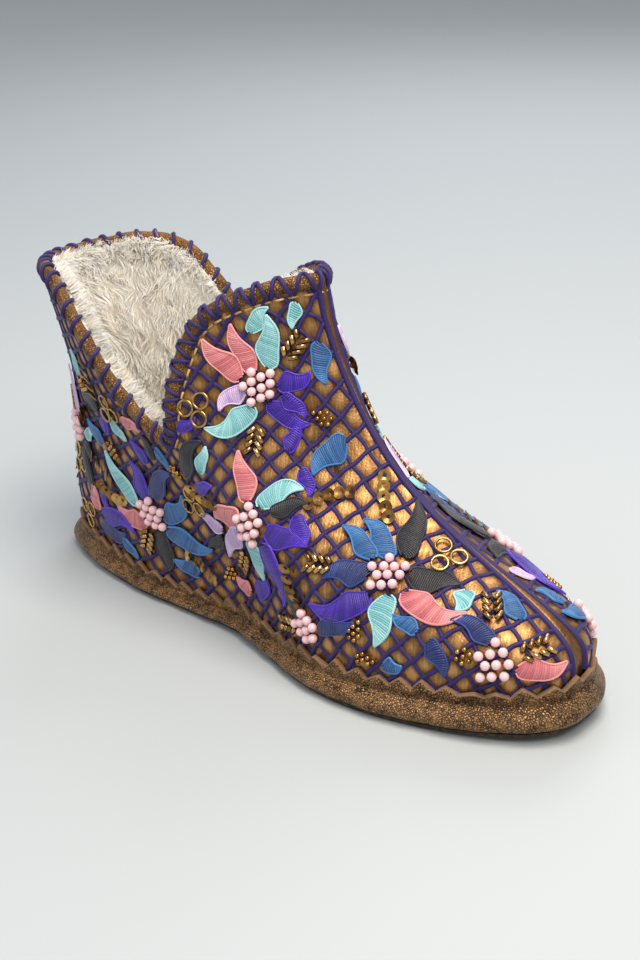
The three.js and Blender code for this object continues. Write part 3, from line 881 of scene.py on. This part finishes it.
# Laid down along its own length
bugle_shape = (bugle_shape[0][:, [2, 1, 0]] * [1, 1, -1], *bugle_shape[1:])
ring_shape = template(
    bpy.ops.mesh.primitive_torus_add, major_segments=20, minor_segments=6,
    major_radius=RING / 2 - RING_WIRE / 2, minor_radius=RING_WIRE / 2,
)
sequin_shape = sequin_template()


class Trim:
    """Gathers the trim of both halves: thread by colour, and each kind of bead."""

    def __init__(self):
        self.threads = {name: Heap() for name in THREADS}
        self.pearls, self.seeds, self.bugles, self.sequins, self.rings = (Heap() for _ in range(5))
        self.taken = [np.zeros((0, 3)), np.zeros((0, 3))]

    def claim(self, pattern, discs, slack=1.0):
        """Takes up discs (x, y, radius) of the flat pattern if they are free; slack lets neighbours tuck
        in."""
        discs = np.atleast_2d(discs)
        taken = self.taken[pattern.half]
        apart = np.linalg.norm(discs[:, None, :2] - taken[None, :, :2], axis=-1)
        if taken.size and (apart - discs[:, None, 2] - taken[None, :, 2]).min() < -slack:
            return False
        self.taken[pattern.half] = np.concatenate([taken, discs])
        return True

    def stamp(self, heap, shape, pattern, places, turns, lift, tilt=0.0):
        """Copies a small shape to flat places, each turned about the normal and tipped along its length."""
        places = np.atleast_2d(places)
        turns = np.broadcast_to(turns, len(places))
        ahead = np.stack([np.cos(turns), np.sin(turns)], -1)
        point, normal, found = pattern.on_wall(places, lift)
        front, _, also = pattern.on_wall(places + ahead * 0.8, lift)
        along = front - point
        along = unit(along - normal * np.sum(along * normal, -1, keepdims=True))
        across = np.cross(normal, along)
        corners, quads, triangles = shape
        for k in np.flatnonzero(found & also & clear_of_edges(pattern, places)):
            tipped = math.cos(tilt) * normal[k] - math.sin(tilt) * along[k]
            level = math.cos(tilt) * along[k] + math.sin(tilt) * normal[k]
            placed = point[k] + corners @ np.stack([level, across[k], tipped])
            heap.add(placed, quads, triangles, rng.uniform(0.3, 0.7))


def clear_of_edges(pattern, places, margin=2.5):
    """Which flat places keep off the collar rim, the rand, the front seam and the back."""
    wall, found = pattern.to_wall(places)
    column, row = wall.T
    _, height = wall_place(pattern.half, column, row)
    top = collar_height(column * COLLAR_LENGTH)
    station = station_of(upper_point(*wall_place(pattern.half, column, row)))
    return (
        found & (seam_distance(column, row) > SEAM_CLEAR + margin) & (row < TOP_ROW)
        & (height < top - RIM_CLEAR - margin / 2) & (height > rand_tip(station) + margin)
        & (column * COLLAR_LENGTH > margin)
    )


def sew_leaf(trim, pattern, root, turn, length, width, bend, name, layer):
    """A satin-stitched leaf: slanting strands over a curved spine, padded in the middle, with a corded
    edge. Returns whether there was room for it."""
    def spine(t):
        angle = turn + bend * (t - 0.3)
        return root + (length * t)[..., None] * np.stack([np.cos(angle), np.sin(angle)], -1)

    def half_width(t):
        t = np.clip(t, 0, 1)
        return width / 2 * LEAF_PEAK * t ** 0.55 * (1 - t) ** 1.1

    def place(t, s):
        t = np.clip(t, 0.01, 0.99)
        ahead = unit(spine(t + 0.01) - spine(t - 0.01))
        flame = 1 + 0.3 * s * np.sign(bend) * np.sin(2 * np.pi * t - 0.6)
        aside = np.stack([-ahead[..., 1], ahead[..., 0]], -1)
        return spine(t) + (s * flame * half_width(t))[..., None] * aside

    strands = max(int(length / STRAND), 6)
    s = np.linspace(-1, 1, 5)
    t = np.linspace(0.05, 0.95, strands)[:, None] + 0.14 * width / length * s[None]
    flat = place(t, np.broadcast_to(s, t.shape))
    rise = LEAF_BASE + layer + LEAF_PAD * (1 - np.abs(s) ** 2.2)[None] * (half_width(t) * 2 / width)
    edge_t = np.concatenate([np.linspace(0.02, 0.98, 16), np.linspace(0.98, 0.02, 16)])
    edge = place(edge_t, np.repeat([1.0, -1.0], 16))
    at = np.array([0.12, 0.35, 0.6, 0.85])
    discs = np.column_stack([spine(at), half_width(at)])
    if not clear_of_edges(pattern, edge, 0.5).all() or not trim.claim(pattern, discs):
        return False
    point, normal, _ = pattern.on_wall(flat.reshape(-1, 2), rise.ravel())
    point, normal = point.reshape(strands, 5, 3), normal.reshape(strands, 5, 3)
    shade = np.linspace(0.22, 0.68, strands) + 0.08 * np.sin(np.linspace(0, 9, strands))
    for k in range(strands):
        tone = shade[k] + rng.uniform(-0.16, 0.16)
        lay_cord(trim.threads[name], point[k], normal[k], 0.95, 0.45, tone, sides=3)
    point, normal, _ = pattern.on_wall(edge, LEAF_BASE + layer)
    lay_cord(trim.threads[name], point, normal, 0.8, 0.8, 0.7, sides=3)
    return True


def toward(place, angle, far):
    return np.asarray(place, float) + far * np.array([math.cos(angle), math.sin(angle)])


def sew_knot(trim, pattern, place, turn, size):
    """The bloom's heart: a packed knot of pearl beads."""
    turn = math.radians(turn)
    knot = [toward(place, 0, 0)] + [toward(place, turn + k * math.pi / 3, BEAD * 1.03) for k in range(6)]
    knot += [toward(place, turn + (k + 0.5) * math.pi / 3, BEAD * 1.78) for k in range(round(4 * size))]
    trim.claim(pattern, (*place, BEAD * 1.5))
    places = np.array(knot) + rng.normal(0, 0.12, (len(knot), 2))
    trim.stamp(trim.pearls, bead_shape, pattern, places, 0.0, 2.1)


def sew_spray(trim, pattern, kind, place, turn, size, leaves, first):
    """Leaves of a bloom or a sprig, each cut shorter until it fits, and beadwork between them."""
    turn = math.radians(turn)
    bloom = kind == "bloom"
    gap = 2 * math.pi / leaves if bloom else math.radians(SPRIG_FAN)
    for k in range(leaves):
        angle = turn + gap * (k + rng.uniform(-0.3, 0.3)) - (0 if bloom else gap * (leaves - 1) / 2)
        root = toward(place, angle, size * ((5.8, 7.5)[k % 2] if bloom else (1, 4)[k % 2]))
        length = size * (16, 22, 18, 21)[k % 4] * rng.uniform(0.9, 1.1)
        name = LEAF_ORDER[(first + k * 5) % len(LEAF_ORDER)]
        lean, bend = angle + rng.uniform(-0.3, 0.3), rng.uniform(-0.9, 0.9)
        for cut in (1, 0.85, 0.7, 0.55):
            width = size * rng.uniform(7, 9) * cut ** 0.5
            if sew_leaf(trim, pattern, root, lean, length * cut, width, bend * cut, name, 0.4 * (k % 2)):
                break
    for k in range(5 if bloom else 2):
        angle = turn + (gap * (k * leaves / 5 + 0.5) if bloom else math.pi + (k - 0.5) * 1.5)
        for far in ((9, 12, 16, 20) if bloom else (3, 7, 11)):
            beadwork = EXTRAS[(first + k) % len(EXTRAS)]
            if lay_extra(trim, pattern, beadwork, toward(place, angle, size * far), angle):
                break


def fill_gaps(trim, pattern, sprays, tries=520, near=25):
    """Small single leaves and bits of beadwork in the spaces left among the sprays."""
    middles = np.array([spray[1] for spray in sprays])
    low, high = pattern.flat.min(0), pattern.flat.max(0)
    for k in range(tries):
        place, angle = rng.uniform(low, high), rng.uniform(0, 2 * math.pi)
        if np.linalg.norm(middles - place, axis=1).min() > near:
            continue
        if k % 4 == 3:
            lay_extra(trim, pattern, EXTRAS[k // 4 % len(EXTRAS)], place, angle)
            continue
        length, name = rng.uniform(9, 14), LEAF_ORDER[k * 5 % len(LEAF_ORDER)]
        sew_leaf(trim, pattern, place, angle, length, length * 0.45, rng.uniform(-0.8, 0.8), name, 0.0)


def lay_extra(trim, pattern, kind, start, angle):
    """Beadwork running out along an angle from a start, if there is room for it."""
    ahead = np.array([math.cos(angle), math.sin(angle)])
    aside = np.array([-ahead[1], ahead[0]])
    run, radius = EXTRA_ROOM[kind]
    way = start + np.linspace(0, run, 5)[:, None] * ahead
    if not clear_of_edges(pattern, way, 1.0).all():
        return False
    if not trim.claim(pattern, np.column_stack([way, np.full(5, radius)])):
        return False
    if kind == "bugles":
        steps = np.arange(4) * 2.4
        for hand in (-1, 1):
            places = start + steps[:, None] * ahead + hand * 1.75 * aside
            trim.stamp(trim.bugles, bugle_shape, pattern, places, angle + hand * 0.75, 1.8)
    elif kind == "sequins":
        sway = np.sin(np.arange(5) * 0.7)[:, None] * 1.2
        places = start + (np.arange(5) * 3.5)[:, None] * ahead + sway * aside
        trim.stamp(trim.sequins, sequin_shape, pattern, places, angle, 1.9, tilt=0.42)
    elif kind == "rings":
        offsets = np.array([[0, -1.2], [RING * 0.95, -0.6], [RING * 0.45, RING * 0.72]])
        trim.stamp(trim.rings, ring_shape, pattern, start + offsets @ np.stack([ahead, aside]), angle, 1.6)
    else:
        steps = np.array([[0, 0], [2, -1], [2, 1], [4, -2], [4, 0], [4, 2], [6, -1], [6, 1]]) * SEED * 0.52
        trim.stamp(trim.seeds, seed_shape, pattern, start + steps @ np.stack([ahead, aside]), angle, 1.6)
    return True


def make_embroidery():
    trim = Trim()
    for pattern, sprays in zip(patterns, SPRAYS):
        for kind, place, turn, size, *_ in sprays:
            if kind == "bloom":
                sew_knot(trim, pattern, place, turn, size)
        for spray in sprays:
            sew_spray(trim, pattern, *spray)
        fill_gaps(trim, pattern, sprays)
    for name, heap in trim.threads.items():
        rayon = thread(f"{name}_rayon", *THREADS[name], twist=0.35)
        heap.piece(f"embroidery_{name}", rayon)
    for name, heap, material in (
        ("pearl_beads", trim.pearls, plain("pink_glass_bead", "#efc4c8", 0.22, coat=0.5)),
        ("seed_beads", trim.seeds, metal("gold_seed_bead", "#94692c", "#d0a45a", 0.25)),
        ("bugle_beads", trim.bugles, metal("bronze_bugle_bead", "#7a5a34", "#d2ab74", 0.25)),
        ("cup_sequins", trim.sequins, metal("antique_gold_sequin", "#7d5a2c", "#d3a860", 0.3)),
        ("brass_rings", trim.rings, metal("aged_brass", "#a5834a", "#cfae70", 0.25)),
    ):
        heap.piece(name, material)


# Collar rim

def rim_frame(share):
    """Middle of the rim, its outward normal and its upward direction. share runs from 0 at the centre
    back by the inner side to 1 at the front, and on by the outer side to 2."""

    def middle_at(s):
        s = np.mod(s, 2)
        way = np.where(s <= 1, s, 2 - s) * COLLAR_LENGTH
        angle = np.where(s <= 1, collar_angle(way), 2 * np.pi - collar_angle(way))
        normal = upper_normal(angle, collar_height(way))
        return upper_point(angle, collar_height(way)) - normal * WALL / 2, normal

    share = np.asarray(share, float)
    middle, normal = middle_at(share)
    tangent = unit(middle_at(share + 0.003)[0] - middle_at(share - 0.003)[0])
    return middle, normal, unit(np.cross(normal, tangent))


def rim_point(share, angle, lift=0.0):
    """Point on the rim's skin: angle 0 faces out, a quarter turn faces up."""
    middle, normal, away = rim_frame(share)
    across = (np.cos(angle) * (RIM_THICK / 2 + lift))[..., None] * normal
    return middle + across + (np.sin(angle) * (RIM_TALL / 2 + lift))[..., None] * away


def notch_share():
    ways = np.linspace(0, 1, 400)
    return ways[np.argmin(collar_height(ways * COLLAR_LENGTH))]


NOTCH = notch_share()
FLAP_FROM, FLAP_TO = NOTCH + 0.02, 2 - NOTCH - 0.02    # the front flap, just past each notch
ROLL_COLUMNS, ROLL_CORNERS = 440, 16
ZIGZAG_PITCH, WRAP_PITCH = 7.5, 7.2    # turns of the whipping on the flap, and round the back
WHIP_RADIUS, WHIP_LIFT = 0.85, 0.35
STITCH_PITCH, STITCH_RADIUS = 4.4, 0.45
STITCH_DROP = 1.1         # from the rim's lower edge to the row of stitches


def make_collar_roll():
    columns, corners = ROLL_COLUMNS, ROLL_CORNERS
    share = np.repeat(np.linspace(0, 2, columns, endpoint=False)[:, None], corners, 1)
    angle = np.repeat(np.linspace(0, 2 * np.pi, corners, endpoint=False)[None], columns, 0)
    swell = 0.18 * np.sin(share * 61) + 0.12 * np.sin(share * 97 + 1)
    points = rim_point(share.ravel(), angle.ravel(), swell.ravel())
    piece = mesh_piece("collar_roll", points, ring_quads(columns, corners), materials=[rim_leather])
    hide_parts("collar_rim")


def make_whipping():
    """Cord over the rim: a zigzag across the flap, and turns wrapped round it from notch to notch behind."""
    whip = Heap()
    turns = round((FLAP_TO - FLAP_FROM) * COLLAR_LENGTH / ZIGZAG_PITCH)
    t = np.linspace(0, turns, turns * 14 + 1)
    tooth = np.abs(2 * np.mod(t, 1) - 1)
    wave = smoothstep(0, 1, tooth) * 0.4 + tooth * 0.6
    share = FLAP_FROM + (FLAP_TO - FLAP_FROM) * t / turns
    path = rim_point(share, np.radians(-78 + 190 * wave), np.full(t.shape, WHIP_LIFT))
    round_cord(whip, path, WHIP_RADIUS, tone=0.45 + 0.1 * np.sin(t * 9))
    span = 2 * NOTCH + 0.04
    turns = round(span * COLLAR_LENGTH / WRAP_PITCH)
    t = np.linspace(0, turns, turns * 18 + 1)
    path = rim_point(FLAP_FROM - span * t / turns, 2 * np.pi * t - 1.4, np.full(t.shape, WHIP_LIFT))
    round_cord(whip, path, WHIP_RADIUS, tone=0.45 + 0.1 * np.sin(t * 9))
    piece = whip.piece("rim_whipping", purple_cord)


def make_flap_stitches():
    """A row of gold running stitches under the rim of the flap."""
    stitches = Heap()
    count = round((FLAP_TO - FLAP_FROM) * COLLAR_LENGTH / STITCH_PITCH)
    for k in range(count):
        t = np.linspace(k + 0.12, k + 0.8, 5) / count
        middle, normal, away = rim_frame(FLAP_FROM + (FLAP_TO - FLAP_FROM) * t)
        bow = np.sin(np.linspace(0, np.pi, 5))[:, None]
        path = middle - away * (RIM_TALL / 2 + STITCH_DROP) + normal * (WALL / 2 + 0.35 + 0.4 * bow)
        round_cord(stitches, path, STITCH_RADIUS, tone=rng.uniform(0.3, 0.8), sides=5)
    stitches.piece("flap_stitches", gold_thread)


# Sole

def loop_angles(count):
    """Angles round the whole sole, evenly along its outline, from the centre back by the inner side."""
    share = np.arange(count) / count * 2
    angle = equal_angles(np.where(share <= 1, share, 2 - share))
    return np.where(share <= 1, angle, 2 * np.pi - angle)


def sole_point(around, reach, height):
    edge = upper_point(around, OUTLINE_HEIGHT)
    normal = upper_normal(around, OUTLINE_HEIGHT)
    flat = unit(normal[..., :2])
    lift = sole_lift(station_of(edge))
    x, y = (edge[..., k] + flat[..., k] * reach for k in (0, 1))
    return np.stack([x, y, height + lift], -1)


def offset_point(around, height, out):
    return upper_point(around, height) + upper_normal(around, height) * np.asarray(out)[..., None]


RAND_PER_TOOTH = 12
RAND_LEATHER, RAND_SEAT = 1.7, 0.45
RAND_FOOT = 0.3            # gap between the rand's lower edge and the sheet
GROOVE_REACH, GROOVE_SHARE = 2.0, 0.8
JOIN_TOOTH = 12            # where the strip's two ends meet, on the inner side
STRIP_STEPS = (0.3, 0.6, 0.85, 1.0)


def curve_rows(knots, steps=4):
    """Rows of points on a smooth curve through the knots of every column."""
    ahead = np.concatenate([knots[:, :1], knots, knots[:, -1:]], 1)
    rows = []
    for k in range(knots.shape[1] - 1):
        p, q, r, s = (ahead[:, k + d] for d in range(4))
        for t in np.linspace(0, 1, steps + 1)[:-1]:
            square, cube = 2 * p - 5 * q + 4 * r - s, 3 * q - p - 3 * r + s
            rows.append(0.5 * (2 * q + (r - p) * t + square * t**2 + cube * t**3))
    return rows + [knots[:, -1]]


def make_rand():
    """Rounded sole edge, a shallow groove over it, and a strip with pinked teeth that curl a little."""
    count = TEETH * RAND_PER_TOOTH
    around = loop_angles(count)
    station = station_of(upper_point(around, OUTLINE_HEIGHT))
    tooth = np.arange(count) // RAND_PER_TOOTH
    phase = (np.arange(count) % RAND_PER_TOOTH) / RAND_PER_TOOTH
    peak = rng.uniform(0.34, 0.66, TEETH)[tooth]
    wave = np.where(phase < peak, phase / peak, (1 - phase) / (1 - peak)) ** 0.9
    curl = rng.uniform(0.1, 1.0, TEETH) ** 2 * 2.8
    tall = rng.uniform(-1.4, 0.5, TEETH)
    run = np.arange(count) / count * 2 * np.pi
    uneven = 0.2 * np.sin(run * 17) + 0.15 * np.sin(run * 41 + 2)
    past_join = (np.arange(count) / RAND_PER_TOOTH - JOIN_TOOTH) * 2 * OUTLINE_LENGTH / TEETH
    overlap = np.where(past_join > 0, 0.7 * np.exp(-np.maximum(past_join, 0) / 16), 0)

    knots = [
        sole_point(
            around, reach + (uneven if share else 0), sole_height(station, share) + (0 if share else RAND_FOOT),
        )
        for reach, share in RAND_OUTER
    ]
    knots.append(sole_point(around, GROOVE_REACH, sole_height(station, GROOVE_SHARE)))
    face = curve_rows(np.stack(knots, 1))

    foot = sole_height(station, GROOVE_SHARE)
    top = tooth_foot(station) + wave * (TOOTH_DEPTH + tall[tooth]) + 0.2
    skin = RAND_SEAT + RAND_LEATHER + overlap
    for t in STRIP_STEPS:
        bend = curl[tooth] * wave * t**3
        face.append(offset_point(around, foot + (top - foot) * t, skin + bend + 0.5 * math.sin(math.pi * t)))
    crest = curl[tooth] * wave
    cut = [
        offset_point(around, top + 0.3, RAND_SEAT + 0.75 * RAND_LEATHER + overlap + crest),
        offset_point(around, top + 0.4, RAND_SEAT + crest * 0.9),
    ]
    middle = (tooth_foot(station) + sole_height(station, RAND_INNER[0][1])) / 2
    back = [offset_point(around, middle, np.full(count, RAND_SEAT))]
    back += [
        sole_point(around, reach, sole_height(station, share) + (0 if share else RAND_FOOT))
        for reach, share in RAND_INNER
    ]
    points = np.stack(face + cut + back, 1)
    profile = points.shape[1]
    row = np.tile(np.arange(profile), count)
    raw = (row >= len(face) - 1) & (row <= len(face))
    piece = mesh_piece(
        "pinked_rand", points.reshape(-1, 3), ring_quads(count, profile), materials=[rand_leather, raw_edge],
        face_material=raw, tone=np.full(count * profile, 0.5),
    )
    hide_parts("rand")


def slab_faces(wide, layers):
    """Sides of stacked outlines, and a cap of strips across the shoe at both ends."""
    i = np.arange(wide)[None]
    k = np.arange(layers - 1)[:, None]
    sides = np.stack(np.broadcast_arrays(
        k * wide + i, k * wide + (i + 1) % wide, (k + 1) * wide + (i + 1) % wide, (k + 1) * wide + i,
    ), -1).reshape(-1, 4)
    half = wide // 2
    j = np.arange(1, half - 1)
    strip = np.stack([j, j + 1, wide - j - 1, wide - j], -1)
    ends = np.array([[0, 1, wide - 1], [half, half + 1, half - 1]])
    top = (layers - 1) * wide
    return np.concatenate([sides, strip[:, ::-1], strip + top]), np.concatenate([ends[:, ::-1], ends + top])


SHEET_RINGS = [(3.4, 0), (4.4, 0.6), (4.4, OUTSOLE_SHEET)]
CORE_RINGS = [(2.2, 0), (3.8, 0.3), (1.2, FEATHER_SHARE)]


def make_outsole():
    around = loop_angles(240)
    station = station_of(upper_point(around, OUTLINE_HEIGHT))
    rings = [sole_point(around, reach, np.full(len(around), height)) for reach, height in SHEET_RINGS]
    rings += [sole_point(around, reach, sole_height(station, share)) for reach, share in CORE_RINGS]
    quads, triangles = slab_faces(len(around), len(rings))
    piece = mesh_piece("leather_outsole", np.concatenate(rings), quads, triangles, materials=[sole_leather])
    select_only(piece)
    bpy.ops.object.shade_smooth_by_angle(angle=math.radians(35))
    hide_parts("outsole")


# Shearling

def ripple(points, size, seed):
    """Soft lumps of about a size in millimetres, between -1 and 1."""
    waves = np.random.default_rng(seed)
    total = np.zeros(points.shape[:-1])
    for _ in range(7):
        way = unit(waves.normal(size=3)) * 2 * np.pi / (size * waves.uniform(0.7, 1.5))
        total += np.sin(points @ way + waves.uniform(0, 6.3))
    return total / 4


LINING_THICK = 3.2
LINING_COLUMNS, LINING_ROWS = 150, 60
# Rings of the footbed from its seat up: height over the seat, and inset from the wall
FOOTBED_RINGS = ((0, 3.0), (FOOTBED / 2, 3.0), (FOOTBED - 0.6, 3.3), (FOOTBED, 4.5))
FOOTBED_GAP = 0.3
# Locks of wool, drawn thicker and fewer than the real hair: number, length and width
WALL_LOCKS, COLLAR_LOCKS, FOOTBED_LOCKS = (56000, 8.5, 0.44), (9000, 6.0, 0.5), (26000, 7.5, 0.7)
RIM_WISPS, HEEL_WISPS = 700, 260    # stray locks all round the rim, and more at the back
WISP_LONG, WISP_WIDE = 5.0, 0.4
PILE_ROOT = 2.4           # depth of the roots under the inside of the wall
FOOTBED_INSET = 11        # from the outline to the footbed's nearest roots


def lining_point(half, column, row, depth):
    around, height = wall_place(half, column, row)
    normal = upper_normal(around, height)
    return upper_point(around, height) - normal * np.asarray(depth)[..., None], normal


def make_lining():
    """The hide side of the pile: a lumpy cream layer against the inside of the wall."""
    columns = np.linspace(0, 1, LINING_COLUMNS + 1)
    rows = np.linspace(0.04, 0.985, LINING_ROWS)
    walls, tones = [], []
    for half in (INNER, OUTER):
        column, row = np.meshgrid(columns, rows, indexing="ij")
        plain_skin = lining_point(half, column, row, np.full(column.shape, WALL + 0.1))[0]
        lump = ripple(plain_skin, 16, 3) * 0.7 + ripple(plain_skin, 7, 4) * 0.4
        skin = lining_point(half, column, row, WALL + LINING_THICK + lump)[0]
        walls.append(np.concatenate([skin[:, ::-1], plain_skin], 1))
        # Tone higher on the lumps of the skin and lower in its hollows: painted highlight and shade; the hidden
        # side against the wall stays even.
        tones.append(np.concatenate([0.4 + 0.25 * lump[:, ::-1], np.full(row.shape, 0.3)], 1))
    points = np.concatenate([walls[INNER], walls[OUTER][-2:0:-1]])
    tone = np.concatenate([tones[INNER], tones[OUTER][-2:0:-1]])
    piece = mesh_piece(
        "shearling_base", points.reshape(-1, 3), ring_quads(*points.shape[:2])[:, ::-1],
        materials=[wool], tone=tone.ravel(),
    )


def make_footbed():
    around = loop_angles(160)
    station = station_of(upper_point(around, OUTLINE_HEIGHT))
    rings = []
    for above, inset in FOOTBED_RINGS:
        height = sole_height(station, FEATHER_SHARE) + FOOTBED_GAP + above
        ring = offset_point(around, height, np.full(len(around), -float(inset)))
        ring[:, 2] = height + sole_lift(station)
        rings.append(ring)
    quads, triangles = slab_faces(len(around), len(rings))
    points = np.concatenate(rings)
    piece = mesh_piece(
        "shearling_footbed", points, quads, triangles, materials=[wool],
        tone=0.4 + 0.2 * ripple(points, 14, 5),
    )
    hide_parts("footbed")


def pile(name, roots, rise, lay, length, width):
    """Locks of wool: narrow blades that stand on the skin and lean over with the lay."""
    count = len(roots)
    tangle = rng.normal(size=(count, 3))
    side = unit(np.cross(rise, tangle)) * (width * rng.uniform(0.7, 1.3, count))[:, None] / 2
    clump = np.stack([ripple(roots, 9, seed) for seed in (11, 12, 13)], -1)
    length = (length * rng.uniform(0.7, 1.15, count))[:, None]
    middle = roots + length * 0.5 * unit(rise + 0.6 * lay + 0.15 * tangle + 0.3 * clump)
    tip = middle + length * 0.5 * unit(0.35 * rise + 1.2 * lay + 0.25 * tangle + 0.7 * clump)
    points = np.stack([roots - side, roots + side, middle + side * 0.8, middle - side * 0.8, tip], 1)
    first = np.arange(count)[:, None] * 5
    tone = np.clip(0.55 + 0.16 * rng.normal(size=count) + 0.2 * ripple(roots, 12, 14), 0, 1)
    # Each lock darker at its root and lighter at its tip: painted shade down among the locks and painted
    # highlight on the tips.
    tone = tone[:, None] + np.array([-0.15, -0.15, 0.05, 0.05, 0.2])
    piece = mesh_piece(
        name, points.reshape(-1, 3), first + np.array([[0, 1, 2, 3]]), first + np.array([[3, 2, 4]]),
        materials=[wool], tone=tone.ravel(),
    )


def scatter_on_wall(count, low, high):
    """Even random places on the inside of the wall between two rows."""
    grid_columns, grid_rows = 60, 30
    columns, rows = np.linspace(0, 1, grid_columns + 1), np.linspace(low, high, grid_rows + 1)
    column, row = np.meshgrid(columns, rows, indexing="ij")
    picks = []
    for half in (INNER, OUTER):
        skin = lining_point(half, column, row, np.full(column.shape, WALL + 2.0))[0]
        along, up = skin[1:, :-1] - skin[:-1, :-1], skin[:-1, 1:] - skin[:-1, :-1]
        area = np.linalg.norm(np.cross(along, up), axis=-1).ravel()
        cell = rng.choice(len(area), count // 2, p=area / area.sum())
        i, j = np.unravel_index(cell, (grid_columns, grid_rows))
        at_column = (i + rng.random(len(cell))) / grid_columns
        at_row = low + (high - low) * (j + rng.random(len(cell))) / grid_rows
        picks.append(lining_point(half, at_column, at_row, np.full(len(cell), WALL + PILE_ROOT)))
    return np.concatenate([p for p, _ in picks]), np.concatenate([n for _, n in picks])


def make_wall_pile():
    count, *lock = WALL_LOCKS
    roots, normals = scatter_on_wall(count, 0.06, 1.0)
    pile("shearling_pile", roots, -normals, np.tile([0.25, 0, -0.5], (len(roots), 1)), *lock)
    count, *lock = COLLAR_LOCKS
    roots, normals = scatter_on_wall(count, 0.94, 1.0)
    pile("collar_pile", roots, -normals, -0.4 * normals + np.array([0, 0, 0.25]), *lock)


def make_footbed_pile():
    """Locks on the footbed, spread between the two walls and clear of both."""
    count, *lock = FOOTBED_LOCKS
    angle = rng.uniform(0.35, 2.75, count)
    near, far = (upper_point(a, OUTLINE_HEIGHT) for a in (angle, 2 * np.pi - angle))
    across = rng.uniform(0, 1, len(angle))[:, None]
    inset = FOOTBED_INSET * unit(far - near)
    roots = near + inset + (far - near - 2 * inset) * across
    station = station_of(roots)
    roots[:, 2] = sole_height(station, FEATHER_SHARE) + FOOTBED + sole_lift(station)
    up = np.tile([0, 0, 1.0], (len(roots), 1))
    lay = np.tile([0.5, 0.1, 0], (len(roots), 1))
    pile("footbed_pile", roots, up, lay, *lock)


def make_rim_wisps():
    share = np.concatenate([rng.uniform(0, 2, RIM_WISPS), rng.uniform(-0.2, 0.2, HEEL_WISPS)])
    angle = np.radians(rng.uniform(170, 215, len(share)))
    roots = rim_point(share, angle, np.full(len(share), -0.3))
    _, normal, away = rim_frame(share)
    rise = unit(away * rng.uniform(0.3, 1.0, len(share))[:, None] - normal * 0.7)
    pile("rim_wisps", roots, rise, -normal * 0.5 + away * 0.1, WISP_LONG, WISP_WIDE)


make_upper()
make_lattice()
make_embroidery()
make_collar_roll()
make_whipping()
make_flap_stitches()
make_rand()
make_outsole()
make_lining()
make_footbed()
make_wall_pile()
make_footbed_pile()
make_rim_wisps()


# Studio, in metres

FLOOR_SIZE = 40


def make_floor():
    bpy.ops.mesh.primitive_plane_add(size=FLOOR_SIZE, location=(0, 0, 0))
    floor = bpy.context.object
    floor.name = "floor"
    floor.data.materials.append(plain("pale_floor", "#b4babd", 0.65))


def area_light(name, place, aim, size, power, code):
    """A square softbox that faces its aim."""
    bpy.ops.object.light_add(type="AREA", location=place)
    light = bpy.context.object
    light.name = name
    light.data.size, light.data.energy, light.data.color = size, power, colour(code)[:3]
    light.rotation_euler = (Vector(aim) - Vector(place)).to_track_quat("-Z", "Y").to_euler()


def make_studio():
    make_floor()
    area_light("key_softbox", (0.55, -0.35, 0.95), (0, 0, 0.05), 0.6, 7.0, "#fff4e6")
    area_light("fill_softbox", (-0.9, -0.7, 0.6), (0, 0, 0.05), 0.9, 2.6, "#eef3ff")
    area_light("collar_softbox", (0.16, -0.02, 0.75), (-0.07, 0, 0.09), 0.35, 4.0, "#fff6ea")
    area_light("back_softbox", (-0.4, 0.9, 0.8), (0, 0, 0.08), 0.7, 5, "#ffffff")
    bpy.context.scene.view_settings.view_transform = "Standard"
    world = bpy.data.worlds.new("soft_room")
    bpy.context.scene.world = world
    world.use_nodes = True
    world.node_tree.nodes.clear()
    sky = add_node(world.node_tree, "ShaderNodeBackground", inputs={
        "Color": colour("#e8ebf0"), "Strength": 0.62,
    })
    add_node(world.node_tree, "ShaderNodeOutputWorld", inputs={"Surface": sky.outputs[0]})


VIEW_AZIMUTH, VIEW_ELEVATION, VIEW_ROLL = 46.0, 24.9, -1.9
VIEW_TARGET, VIEW_DISTANCE = np.array([-0.057, 0, 0.028]), 0.66
VIEW_AIM = np.array([0.006, 0, 0.058])
VIEW_LENS = 61.5


def make_camera():
    """The photograph's point of view, aimed at the middle of the one shoe."""
    a, e, r = (math.radians(value) for value in (VIEW_AZIMUTH, VIEW_ELEVATION, VIEW_ROLL))
    outward = np.array([math.sin(a) * math.cos(e), -math.cos(a) * math.cos(e), math.sin(e)])
    place = VIEW_TARGET + VIEW_DISTANCE * outward
    back = Vector(place - VIEW_AIM).normalized()
    right = Vector((0, 0, 1)).cross(back).normalized()
    up = back.cross(right)
    turned_right = right * math.cos(r) + up * math.sin(r)
    turned_up = up * math.cos(r) - right * math.sin(r)
    bpy.ops.object.camera_add(location=place)
    camera = bpy.context.object
    camera.rotation_euler = Matrix((turned_right, turned_up, back)).transposed().to_euler()
    camera.data.lens = VIEW_LENS
    bpy.context.scene.camera = camera


make_studio()
make_camera()
